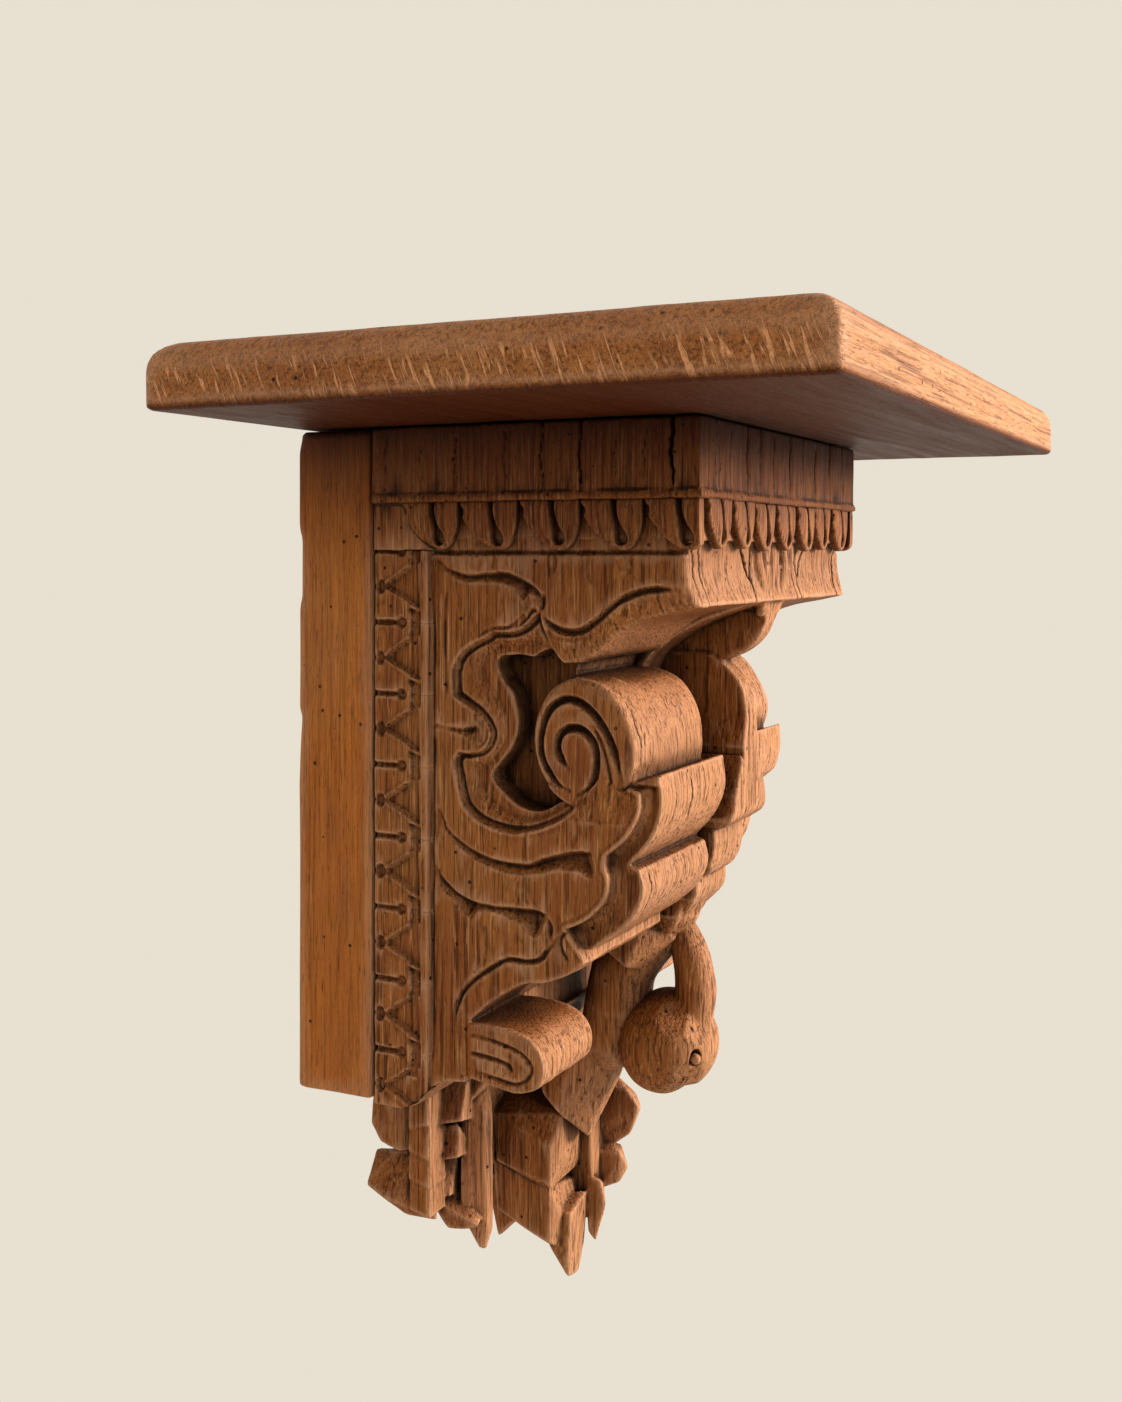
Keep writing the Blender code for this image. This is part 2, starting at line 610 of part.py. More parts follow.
def make_back_board(collection, material):
    height = BOARD_HEIGHT - FIT_GAP
    size = (BOARD_WIDTH, BOARD_THICK, height)
    middle = (0, -BOARD_THICK / 2, BOARD_FOOT_Z + height / 2)
    rounds = (BOARD_ARRIS, BOARD_ARRIS, BOARD_ARRIS)
    return rounded_board(collection, "back_board", size, middle, rounds, material)


def main():
    clear_scene()
    bracket = new_collection("carved_wall_bracket")
    make_shelf(bracket, wood("shelf_wood", (0.27, 0.12, 0.05), 0.5))
    make_back_board(bracket, wood("board_wood", (0.36, 0.16, 0.055), 0.5))
    make_corbel(bracket, wood("carved_wood", (0.30, 0.13, 0.055), 0.55))


main()
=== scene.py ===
"""The looks of a carved wall bracket: teak shelf board, plain back board and a hand-carved corbel.

The corbel is carved the way a carver works: a block of wood is a field of numbers, below zero where
there is wood, and each form is an outline drawn on the carving sheet. The sheet is in millimetres:
across from the middle, out from the wall, and drop below the shelf board.
"""

import itertools
import math
from types import SimpleNamespace

import bmesh
import bpy
import numpy as np
import openvdb
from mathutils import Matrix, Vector


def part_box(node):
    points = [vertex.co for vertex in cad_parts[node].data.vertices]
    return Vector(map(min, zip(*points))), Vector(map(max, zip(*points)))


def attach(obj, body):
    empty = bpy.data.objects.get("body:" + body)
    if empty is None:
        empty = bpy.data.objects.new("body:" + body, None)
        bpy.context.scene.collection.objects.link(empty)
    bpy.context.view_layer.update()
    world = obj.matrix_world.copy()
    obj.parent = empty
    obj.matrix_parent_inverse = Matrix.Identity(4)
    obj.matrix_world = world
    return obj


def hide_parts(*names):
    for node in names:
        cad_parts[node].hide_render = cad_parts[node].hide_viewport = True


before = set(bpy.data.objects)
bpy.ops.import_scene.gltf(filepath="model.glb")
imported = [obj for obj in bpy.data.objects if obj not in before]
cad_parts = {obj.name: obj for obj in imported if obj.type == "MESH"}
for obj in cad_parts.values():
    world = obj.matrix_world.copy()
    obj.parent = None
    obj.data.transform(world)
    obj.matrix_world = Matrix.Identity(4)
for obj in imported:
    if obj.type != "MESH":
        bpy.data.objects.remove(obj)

bl_info = {
    "name": "Carved wall bracket",
    "version": (1, 0, 0),
    "blender": (4, 5, 0),
    "location": "3D View > Sidebar > Bracket",
    "description": "Makes the looks of a carved teak wall bracket around its packed frame",
    "category": "Object",
}

BODY = "root"
MM = 0.001

# The frame's own boxes
CORBEL_LOW, CORBEL_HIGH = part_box("carved_corbel")
SHELF_LOW, SHELF_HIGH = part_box("shelf_board")
BOARD_LOW, BOARD_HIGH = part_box("back_board")

# The carving sheet, in millimetres: half the block's width, the back board's front, the corbel's front,
# the block's foot and the pendant's tip, then the drops and the faces that its parts keep to
SHEET_HALF = 105.0
SHEET_BACK = 37.0
SHEET_FRONT = 180.0
SHEET_FOOT = 275.0
SHEET_TIP = 382.0
BAND_FOOT = 28.0
BEAD_FOOT = 30.5
FRINGE_GROUND = 46.5
FIELD_FACE = 102.0
SLAB_FACE = 96.5
VOLUTE_FACE = 100.0
POCKET_FLOOR = 84.0
BARREL_END = 25.5
ROLL_END = 57.0

# Below the lip the right-hand half is carved shallower than the left
RIGHT_FROM = 63.0
RIGHT_CUTS = ((74, 0), (98, 0.2), (125, 0.15), (157, 0.16), (172, 0.26), (205, 0.24), (236, 0.44),
              (275, 0.44))
RIGHT_ACROSS = (20.0, 27.0)

CORNER = "corner"

# The block's outline from the side, and the outline of the thin plate on its face
LIP = [(SHEET_BACK, 44, CORNER), (174.5, 44, CORNER), (173.2, 55), (174.5, 64), (177, 71, CORNER),
       (164, 73.8), (154, 76.3), (147, 79.5), (139.3, 85.4), (133.5, 90.5), (128.5, 93, CORNER)]
GAP_BACK = [(121.5, 93.5, CORNER), (119.5, 99, CORNER)]
BARREL = [(128, 99.6), (140, 103.6), (148.3, 115), (151, 129), (150, 138, CORNER)]
LEAVES = [(160, 135, CORNER), (161, 147), (157, 159), (147.5, 170, CORNER), (152, 171.5, CORNER),
          (153.5, 180), (149, 190), (141, 197.5), (131.5, 204, CORNER)]
LOWER_LIP = [(131.5, 208, CORNER), (124, 213.5), (114, 217.5), (106, 219), (99, 222.5), (89, 229.5),
             (79.5, 238, CORNER)]
FOOT = [(79, 261.5, CORNER), (66, 264), (58, 273), (50, 276, CORNER), (SHEET_BACK, 276, CORNER)]
PLATE_LEAVES = [(147.5, 139.3, CORNER), (153.8, 141.2, CORNER), (154, 148), (151.8, 154), (148, 159.5),
                (140.6, 166, CORNER), (140, 170), (141.6, 175), (141, 181), (137.5, 186.5), (131, 192),
                (123.5, 195.6, CORNER), (130.5, 205, CORNER)]
VOLUTE = [(108.2, 124), (110, 113), (116, 103.5), (126, 99.3), (139.5, 102.6), (148.8, 115.5), (151.8, 129),
          (147.5, 140.5, CORNER), (137, 147), (127, 149), (116.5, 143.5), (110.5, 135)]
ROLL = [(76, 237.5, CORNER), (96, 237.6), (107, 240), (112.7, 245.4), (114.4, 252), (111.5, 259),
        (102, 262.4), (91, 261.4), (76, 258.5, CORNER)]

# The volute's disc is set in this room; the field runs on into it at the foot
VOLUTE_ROOM = [(107.6, 124), (109.4, 113), (115.6, 103), (126, 98.7), (139.8, 102), (149.4, 115.2),
               (152.6, 129), (148, 141, CORNER), (143.6, 141.4, CORNER), (139, 137), (134.5, 140),
               (129.6, 145, CORNER), (124.5, 148), (116, 144), (109.8, 135.4)]
SOFFIT = [(177, 71), (164, 73.8), (154, 76.3), (147, 79.5), (139.3, 85.4), (133.5, 90.5), (128.5, 93),
          (121.5, 93.5), (117, 90.4), (112.6, 85.6)]

# The ribbon that frames the pocket, the pocket itself and the cuts in the face
RIBBON = [(112, 74, CORNER), (106, 79.5), (100, 82), (91.5, 82.6), (88.5, 84.5, CORNER), (82.4, 87.5),
          (76.6, 92), (74, 98.6), (74.3, 107.6, CORNER), (79, 110.6), (84.5, 114), (88.6, 118.5),
          (90, 123), (87, 128.6), (81, 130.6), (76.5, 130.6, CORNER), (74.4, 134), (75.5, 139.5),
          (78.5, 150.5), (84, 155.8), (91, 158.6), (99, 160), (107, 159.4), (114, 157), (120.5, 153.8),
          (126.6, 149.5, CORNER), (127, 120, CORNER), (124, 96, CORNER), (120, 92.6, CORNER),
          (116.5, 87.5), (113.4, 80)]
POCKET = [(91, 93), (98, 91), (107, 91.8, CORNER), (112, 89), (115.5, 88.4), (119, 92.4, CORNER),
          (125, 97, CORNER), (130, 120, CORNER), (131, 141, CORNER), (127.5, 146.5), (121.5, 146.7),
          (110, 152), (100.5, 150.6), (92.5, 144.8), (88.5, 139.5), (91.5, 134.8), (97.8, 126.5),
          (100.4, 117.6), (97.5, 107.6), (92.5, 99.5)]

# How fast a cut falls from its steep edge and from its gentle edge
STEEP_FALL = 2.6
GENTLE_FALL = 1.05
# A cut has a steep edge and a gentle edge, both run from its start to its end
CUTS = {
    "wave": (((65, 54), (72, 57.3), (80, 59.3), (88, 59), (97, 58.6), (104, 60.8), (110, 64), (113.4, 68.5),
              (113.6, 73)),
             ((65, 54), (71.5, 59), (79, 62.4), (88, 62.4), (96, 63), (101.5, 65.4), (105.4, 69.4),
              (109, 67.4), (113.6, 73)), 3.6),
    "upper_crescent": (((66.4, 154), (71.6, 161.5), (80.4, 167.6), (89.3, 171), (98.2, 172), (107, 172),
                        (114, 169.2), (123, 166.4), (130.5, 165.3), (134.6, 166)),
                       ((66.4, 154), (70.5, 163), (80.4, 170.8), (91.6, 175.2), (102.7, 177), (113.8, 175),
                        (121, 173.2), (128.5, 173.2), (135.2, 174.6), (134.6, 166)), 4.2),
    "lower_crescent": (((65, 177), (69.3, 181.5), (76, 186.5), (83.8, 189.2), (91.6, 190), (98.2, 189.7),
                        (105, 189.7), (112.7, 190), (115.6, 193.6)),
                       ((65, 177), (68, 184.8), (74, 190), (81, 195.6), (85.5, 193), (91.6, 192.4),
                        (98.2, 194), (104, 196.2), (110.6, 200.4), (115.6, 193.6)), 4.2),
    "eye": (((79, 110.8), (84.6, 113.8), (88.4, 118.4), (89.6, 123), (86.6, 128.2), (80.6, 130)),
            ((79, 110.8), (83.4, 115.6), (86.2, 119.6), (86.4, 123.6), (84.4, 127), (80.6, 130)), 3.0),
    "dart": (((63.6, 120.2), (70, 120.4), (77, 120.8), (84, 119.6), (85, 121.6)),
             ((63.6, 120.2), (70, 121.4), (77, 123.2), (82, 124.4), (85, 121.6)), 2.6),
    "hook_gap": (((124.6, 150.8), (127.6, 148.8), (130.4, 145.6), (132.6, 141)),
                 ((124.6, 150.8), (125.8, 147), (127.6, 143.8), (132.6, 141)), 9.0),
    "knot_leaf": (((113, 190.4), (116.6, 193), (118, 197), (116.6, 201)),
                  ((113, 190.4), (114.4, 195.4), (114.6, 198.6), (116.6, 201)), 2.2),
}

# Lines cut with the corner of a chisel: a route, the width at its middle and its depth
LINES = {
    "ribbon_line": (((112.5, 73.4), (116, 78), (121.5, 80.8), (129, 81.2), (136, 77.4), (142, 72.4),
                     (147.6, 68.4), (156, 65.4), (164, 64.6), (172, 65)), 2.8, 3.4),
    "second_line": (((113.6, 79.6), (117, 82.4), (122.4, 84.2), (128.6, 83.8), (133, 81.4)), 1.0, 1.4),
    "tab_left": (((107.4, 67.6), (106.6, 70.4), (106.4, 74.4)), 1.0, 1.6),
    "tab_right": (((113.8, 66.6), (114, 70), (113.2, 73.4)), 1.4, 2.2),
    "ribbon_outer": (((107.6, 73), (104, 76.6), (98.6, 80), (92.6, 80.6), (88, 82.2),
                      (83.4, 85.4)), 1.1, 1.5),
    "stem_left": (((104.6, 160.5), (110, 160.4), (117, 158.4), (124, 155)), 0.8, 0.9),
    "ribbon_crest": (((112, 74), (109.3, 73.4), (106.4, 76.6), (101, 81)), 1.6, 2.0),
    "roll_outer": (((75, 241.6), (89.3, 242.8), (100.4, 245), (106.2, 247.8), (108.8, 251.7), (107, 256),
                    (101.6, 258.7), (91.6, 257.6), (78.8, 255)), 1.3, 2.2),
    "roll_inner": (((78.8, 248.9), (89.3, 250), (97.4, 251.4), (100.6, 254.4)), 1.5, 2.2),
    "roll_tip": (((99.6, 246.4), (99, 250.6), (100.6, 255)), 1.0, 1.6),
    "board_side": (((64.4, 52), (64.8, 120), (64.4, 200), (64.8, 262)), 1.3, 1.6),
    "plate_hook": (((125, 196), (121.6, 199.4), (122.2, 204.4), (125.4, 209)), 1.4, 2.2),
    "plate_hook_back": (((131, 194.6), (128.6, 199), (129.4, 204)), 1.2, 2.0),
    "leaf_gap": (((140.4, 167.6), (143.6, 166), (147, 167.5), (146.6, 173)), 2.4, 4.0),
    "lower_edge": (((120.5, 199.6), (116, 204.4), (112.4, 208.6), (106.6, 210.2), (98.4, 210.4),
                    (91.6, 214.2), (84, 219.6), (78.4, 225.4), (75.2, 233), (75, 241)), 1.9, 2.8),
}

# The volute's spiral, cut the same way
SPIRALS = {
    "outer_turn": (((146.4, 141.5), (144.6, 132), (142.2, 124.6), (138.4, 117.6), (133.4, 111.6),
                    (127.5, 108), (121.4, 107.8), (115.4, 112), (112.2, 119.6), (111.6, 127.6),
                    (114.2, 134.6), (119.4, 140.4), (124.6, 142.6)), 3.0, 5.0),
    "band_line": (((143.4, 147), (141.4, 137), (139.4, 128.4), (136.2, 120.8), (133.4, 117.4)), 1.3, 2.2),
    "eye_turn": (((127.4, 144.4), (133, 140.4), (135.6, 132.4), (134.6, 124.2), (130, 119.2),
                  (124.2, 118.6), (120, 121.6), (119, 127), (121.2, 131.2), (124.4, 134.4)), 3.0, 5.0),
}

# Cracks that the drying wood opened along its grain in the side face: out from the wall, top and foot
SIDE_CRACKS = ((91.6, 49, 58), (116.4, 49, 61), (118.6, 51, 59), (133.2, 50, 63), (150.5, 50, 60),
               (70.5, 62, 112), (88, 196, 216), (103, 178, 189), (128, 151, 164))
# Cracks in the fronts: across, slant, width and depth, and the drops they run between
FRONT_CRACKS = ((96.5, -0.1, 0.5, 2.5, 44, 72), (91.6, -0.2, 0.9, 4.5, 44, 73), (86, -0.12, 0.4, 2, 50, 73),
                (60, -0.12, 0.35, 2, 44, 70), (46, -0.75, 1.3, 4, 44, 63), (30.6, 0, 1.1, 6, 44, 73),
                (92, 0.05, 0.5, 3, 103, 134), (89.4, 0.02, 0.35, 2, 112, 137),
                (70, 0.05, 0.3, 1.6, 108, 124), (80, 0.04, 0.45, 3, 136, 162),
                (64, -0.04, 0.6, 3.5, 136, 160), (57, 0.05, 0.35, 2, 137, 156),
                (45, 0.05, 0.35, 2, 138, 158), (88, -0.1, 0.6, 3, 171, 196),
                (72, 0.05, 0.35, 2, 172, 190), (85, 0, 0.4, 2.2, 240, 262), (70, 0.03, 0.3, 1.6, 240, 258))

# The plain corner between the first hanging leaf and the border
PLAIN_CORNER = [(SHEET_BACK, 29, CORNER), (52, 29, CORNER), (53.4, 36), (57, 42.5), (62.5, 47.6),
                (66, 50.2, CORNER), (SHEET_BACK, 50.2, CORNER)]
# Cracks through the band: place along it, half width, and the drops they run between
BAND_SIDE_CRACKS = ((44, 0.3, 2, 24), (60.5, 0.25, 8, 29), (76, 0.4, 4, 31), (98.4, 0.35, 3, 31),
                    (114.6, 0.45, 0, 31), (131, 0.5, 0, 31), (146, 0.3, 6, 26), (158, 0.3, 2, 27),
                    (168.6, 0.6, 0, 31))
BAND_FRONT_CRACKS = ((-88, 0.4, 0, 31), (-72, 0.3, 4, 28), (-52, 0.6, 0, 31), (-36, 0.4, 0, 31),
                     (-19, 0.5, 2, 31), (3, 0.7, 0, 31), (21, 0.4, 0, 27), (40, 0.5, 4, 31),
                     (63, 0.5, 0, 31), (84, 0.4, 0, 28))

# The keel's plates: an outline of (out, drop), and the half width at some drops
KEEL_PLATES = {
    "nose": ([(110, 56, CORNER), (173.5, 56, CORNER), (173.5, 72), (170.5, 84), (163, 92.5),
              (151, 98, CORNER), (110, 98, CORNER)], ((56, 16.5), (69, 15), (75, 7), (98, 5))),
    "tongue": ([(110, 92, CORNER), (148, 94, CORNER), (155, 100), (160.5, 107), (163.5, 117),
                (163.5, 133), (163.5, 154), (162.5, 163), (157, 168, CORNER), (110, 168, CORNER)],
               ((92, 6), (120, 6.6), (138, 10), (154, 19), (164, 22), (168, 19))),
    "upper_scale": ([(110, 158, CORNER), (150, 160), (153, 169), (153.5, 175), (150.5, 187),
                     (146, 190.5, CORNER), (110, 186, CORNER)], ((158, 18.5), (184, 18), (190, 13))),
    "middle_scale": ([(110, 182, CORNER), (144, 188), (145.5, 194), (144, 200), (138, 207, CORNER),
                      (110, 204, CORNER)],
                     ((182, 19), (200, 18.5), (207, 14))),
    "lower_scale": ([(100, 186, CORNER), (134, 190), (138.5, 200), (135, 211), (127.5, 219, CORNER),
                     (100, 214, CORNER)], ((186, 18.5), (208, 18), (219, 12))),
}
KEEL_CORE = [(SHEET_BACK, 44, CORNER), (173.8, 44, CORNER), (172.6, 56), (173.8, 64), (176, 71, CORNER),
             (150, 80), (130, 92), (123, 104), (125, 128), (127, 158), (121, 190), (111, 214), (97, 224),
             (80, 238, CORNER), (80, 250), (79, 262, CORNER), (66, 264), (58, 273), (50, 276, CORNER),
             (SHEET_BACK, 276, CORNER)]
# Stalks that run from the fringe down to the nose: route and radii
STALKS = ((((23, 170.6, 45), (20, 171.6, 56), (14, 172, 66), (9, 170.6, 76)), (4.6, 3.8, 3.2, 2)),
          (((9, 171.4, 45), (12.4, 172.6, 55), (10, 172.6, 66), (6, 171, 77)), (3.8, 3, 2.8, 2)),
          (((1.5, 170.6, 45), (2, 171.6, 56), (3.4, 171.8, 68), (2, 170.4, 78)), (4.2, 3.4, 2.8, 2)))

# Cracks in the keel's plates: across, half width, and the drops they run between
KEEL_CRACKS = ((-9.5, 0.35, 100, 150), (-4, 0.3, 112, 160), (-13, 0.3, 158, 186), (-7, 0.3, 160, 192),
               (2, 0.3, 108, 150), (-10, 0.3, 196, 214), (-3, 0.3, 200, 216), (8, 0.35, 104, 150),
               (11, 0.3, 160, 188), (5, 0.3, 198, 214))

# The trunk below the keel and the looped stem that carries the bud: route, and the radius along it
TRUNK = (((0, 126, 206), (0, 115, 220), (0, 104, 236), (0, 100, 254), (0, 97, 270)),
         (13.5, 14.5, 14.5, 15, 14))
TRUNK_LEAF = ((-24, 105.5, 224.5), (-23, 121.5, 213.5), (-23, 114, 231), (-12, 118, 234), (-8, 132, 219),
              (-10, 126, 212), (0, 120, 210), (0, 112, 232), (-14, 100, 226))
STEM = (((0, 126, 208), (0, 130.4, 217), (0, 135.6, 229), (0, 137.6, 243), (0, 136, 256)),
        (6.2, 7, 8.4, 9.2, 9))
BUD = (0.0, 126.4, 266.3)
BUD_RADII = (20.8, 20.8, 22.2)
# The flat cuts on the bud: the way each one faces
BUD_FACETS = ((-0.73, 0.32, -0.61), (-0.48, 0.78, -0.41), (-0.95, -0.14, 0.28), (-0.62, 0.62, 0.48),
              (0.3, 0.8, -0.52), (-0.3, 0.3, 0.9))
BUD_FACET_SHARE = 0.955
# The cup behind the bud, and the knob that stands in a pit on its face
BUD_CUP = (0, 121.4, 268.4)
BUD_CUP_RADII = (20, 19.4, 22)
BUD_KNOB = (-12.4, 142.2, 269.4)
BUD_KNOB_RADII = (2.0, 2.4, 2.4)
BUD_PIT_RADII = (2.8, 3.0, 4.2)

# The pendant's blocks are cut with flat facets that wrap these corners: across, out and drop. The first
# list stands in the middle, the second on both sides of it, the third on the right alone.
MIDDLE_BLOCKS = (
    ((-19, 68, 276), (-19, 71, 293), (-19, 78.5, 300.5), (-15, 86, 268), (-12, 88, 281), (-5, 96, 284),
     (0, 106, 268), (-4, 87.5, 315), (2, 84.5, 318), (10, 97, 291), (10, 80, 317), (12, 104, 270),
     (19, 68, 276), (19, 72, 292)),
    ((-18.5, 46, 307), (-18.5, 47.5, 328), (-18.5, 75, 317), (-18.5, 75, 334), (-14, 78.5, 303.5),
     (-8, 47, 298), (8, 47, 298), (12, 78, 312), (19.5, 76, 325), (14, 76, 334.5), (19, 46, 307),
     (18.5, 47.5, 328), (-12, 79, 322), (0, 62, 297), (-16, 74, 337.5)),
    ((-16.5, 45, 328), (-16.5, 46.5, 351), (-16.5, 73.5, 336), (-16, 73.5, 362), (-9, 75, 366),
     (14.6, 75, 342), (20, 73, 348), (14, 73, 358.5), (16.5, 46, 328), (16.5, 46, 350), (-11, 77, 350)),
    ((-13, 38, 335), (-14, 53, 340), (-13, 54, 357), (-12, 45, 366), (13, 38, 335), (13, 53, 357),
     (12, 45, 366)),
    ((-9, 62, 345), (-9.5, 70, 366), (-6, 78, 380), (0, 75, 382), (3, 79, 381), (11, 78, 352),
     (11, 78, 372), (9, 64, 358), (-10, 81, 350), (8, 81, 345), (-8, 79, 372)))
SIDE_BLOCKS = (
    ((-60, 14, 272), (-71, 16, 280), (-75, 26, 288), (-70, 35, 280), (-74, 16.5, 297), (-75, 22, 304),
     (-73, 30, 308), (-68, 36, 306), (-60, 16, 302), (-60, 36, 308), (-62, 36, 272)),
    ((-66, 14, 311), (-69, 26, 309), (-66, 38, 308), (-76.5, 15.5, 323), (-77, 26, 327), (-72, 36, 329),
     (-70, 45, 333), (-70, 32, 335.5), (-64, 44, 338), (-60, 15, 330), (-60, 38, 310), (-70, 17, 327)),
    ((-60, 34, 274), (-60, 45, 274), (-73, 35, 274), (-74, 35, 297), (-73.4, 44.8, 294), (-72.6, 45, 274),
     (-60, 46, 296), (-60, 34, 298)),
    ((-60, 34, 294), (-60, 45, 294), (-73, 35, 294), (-74, 35, 306), (-73.4, 44.8, 309), (-72.6, 45, 292),
     (-60, 46, 309), (-60, 34, 309)),
    ((-60, 34, 305), (-60, 45, 305), (-73, 35, 305), (-74, 35, 318), (-73.4, 45, 321), (-72.6, 45, 306),
     (-60, 46, 321), (-60, 34, 320)),
    ((-60, 34, 317), (-60, 45, 317), (-73, 35, 317), (-74, 36, 331), (-73, 45.3, 334), (-72.6, 45, 319),
     (-60, 46, 333), (-60, 34, 332)),
    ((-48, 40, 274), (-62, 40, 276), (-64, 45, 296.5), (-63, 55.5, 294), (-59, 56, 278), (-48, 55, 276),
     (-48, 54, 297), (-48, 42, 298)),
    ((-48, 39, 296), (-61, 39, 299), (-59, 52, 298), (-63, 44.5, 312.5), (-61, 52.4, 311), (-48, 52, 312),
     (-62, 39, 309)),
    ((-50, 39, 311), (-59, 40, 314), (-62, 40, 327), (-60, 48, 329), (-50, 47, 330), (-52, 47, 312)),
    ((-52, 38, 326), (-62, 39, 331), (-56, 60, 341), (-54, 50, 344.5), (-58, 45.5, 343.5), (-52, 40, 341),
     (-48, 58, 338), (-50, 50, 328)),
    ((-46, 48, 256), (-40, 55, 256), (-54, 50, 286), (-56, 50.5, 335), (-50, 59.5, 294), (-50, 60, 340),
     (-46, 61, 296), (-46, 61.5, 345), (-46, 46, 298), (-47, 46, 338), (-49, 60, 354), (-51, 57.5, 353.5),
     (-38, 50, 290), (-40, 52, 345)))
RIGHT_BLOCKS = (
    ((6, 60, 298), (20, 60, 298), (23, 84, 302), (22, 86, 340), (9, 83, 346), (20, 60, 345), (6, 60, 350),
     (8, 82, 300)),
    ((8, 80, 338), (15, 80, 340), (8, 81, 364), (14, 82, 369), (10, 84.5, 369.5), (11, 89.5, 352),
     (10, 87.5, 340), (16, 86, 344), (16, 84, 362)),
    ((18, 79, 297), (27, 84, 297), (31, 84, 312), (28, 82, 325), (20, 86, 329), (20, 97, 301),
     (28, 97, 304), (21, 101.5, 308), (27, 100, 310), (22, 97, 321), (16, 80, 320), (24, 90, 296),
     (26, 93, 324)),
    ((14, 78, 328), (26, 78, 329), (30, 84, 332), (20, 86, 325), (27, 90, 329), (28, 91, 341),
     (18, 94, 330), (22, 95.5, 337), (20, 92, 344), (26, 84, 347), (16, 84, 347), (14, 78, 344),
     (25, 78, 344)))
PENDANT_CORE = [(SHEET_BACK + 3, 252, CORNER), (84, 252, CORNER), (62, 280), (48, 298), (46, 330, CORNER),
                (30, 328, CORNER), (17, 316, CORNER), (17, 277, CORNER), (SHEET_BACK + 3, 277, CORNER)]

# The fringe's and the border's leaves: how many, how far apart and where the first one starts, with the
# fringe leaf's length, its outline as (along, drop), its slit as a route and a width, and its hole
SIDE_PITCH = 26.5
SIDE_FIRST = 51.0
SIDE_COUNT = 4
FRONT_COUNT = 7
FRONT_PITCH = 27.2
LEAF_LENGTH = 19.9
LEAF_OUTLINE = [(0.4, 0, CORNER), (1.2, 5.5), (4.4, 11), (9, 15.8), (14, 19), (18.5, 19.9), (22, 18.4),
                (24.4, 14), (25.6, 9.5), (25.9, 5), (26.2, 0, CORNER)]
LEAF_SLIT = (((14.2, -1), (14.6, 5), (16, 11), (17.4, 15.4)), 1.5)
LEAF_HOLE = (0.2, 4.6, 1.5)
BORDER_PITCH = 29.0
BORDER_FIRST = 64.5
BORDER_COUNT = 8
# The sunk ground beside a ridge, and the sunk corner outside a leaf, both measured from the leaf's hole
BORDER_GROUND = [(42, -0.2, CORNER), (47, -3.6), (53, -7.6), (58.5, -11.4, CORNER), (59.5, 10.5, CORNER),
                 (53, 5.4), (47, 2.4), (42, 0.2, CORNER)]
BORDER_CORNER = [(53.5, 8.5), (55.4, 12, CORNER), (54.6, 16, CORNER), (61, 16, CORNER), (61, 10, CORNER)]
# The border's foot is cut in a curve: places out from the wall and the drop there
BORDER_FOOT = ((50, 275.5), (58, 272.5), (66, 264))

# The back board's rear left edge: height above the middle and how wide it is chipped
BOARD_CHIPS = ((-130, 0.3), (-60, 0.3), (-20, 0.8), (-8, 0.2), (-7, 1.2), (19.5, 3.2), (20.5, 0.4),
               (62, 0.6), (68, 3.0), (92, 3.4), (99, 0.5), (128, 0.8), (133, 3))
# How far the saw's strokes lean on the shelf board's ends
SAW_SLANT = math.radians(20)

# How far below the shelf board the wood is darkened by painted shade, in metres
PAINTED_SHADE_REACH = 0.070

# Where the heart of each wood's tree was, in metres: the growth rings run round it
CARVED_HEART = (0.12, 0.10, 0.0)
SHELF_HEART = (0, -0.10, 0.06)
BOARD_HEART = (0.3, 0.12, 0)

# The boards: radii of the top edge, the foot edge and the upright corners, and how long and broad the
# worn hollows are, all in millimetres
SHELF_EDGES = (12, 1.6, 4)
SHELF_HOLLOWS = (60, 25, 25)
BOARD_EDGES = (1.2, 1.2, 0.5)
BOARD_HOLLOWS = (20, 20, 50)

# Colours that every teak here has in part, and last the colour of the painted shade under the shelf board
RED_PATCH = "#7A4228"
PALE_PATCH = "#A0734A"
GRAIN_LINE = "#4E220C"
STREAK = "#351304"
PORE = "#2A0F03"
SCRATCH = "#C08A5A"
SAW_STROKE = "#E0A070"
# The painted shade under the shelf board
PAINTED_SHADE_COLOUR = "#3C1202"

# The photograph's camera
CAMERA_PLACE = (-0.6235, -0.3787, 0.0858)
CAMERA_TURN = math.radians(-63.77)
PHOTO_HEIGHT = 1402
FOCAL_PIXELS = 1511.9
HORIZON_DROP = 146.6
SENSOR = 36.0

# The studio floor, in metres
FLOOR_LEVEL = -1.5
FLOOR_RADIUS = 1.6

# The soft window light: its place, what it faces, its width in metres, its power and its colour
LIGHT_PLACE = (0.75, -1.6, 0.55)
LIGHT_AIM = (0, -0.1, -0.03)
LIGHT_WIDTH = 0.6
LIGHT_POWER = 62
LIGHT_COLOUR = "#FFEEDD"

# The most triangles in the pieces whose number is not a setting
BUD_TRIANGLES = 50000
BAND_TRIANGLES = 60000
FRINGE_TRIANGLES = 110000
BORDER_TRIANGLES = 100000
SHELF_TRIANGLES = 60000
BOARD_TRIANGLES = 50000


def hex_colour(code):
    """An sRGB hex code as linear red, green, blue and alpha."""
    parts = [int(code[start:start + 2], 16) / 255 for start in (1, 3, 5)]
    linear = [part / 12.92 if part <= 0.04045 else ((part + 0.055) / 1.055) ** 2.4 for part in parts]
    return (*linear, 1.0)


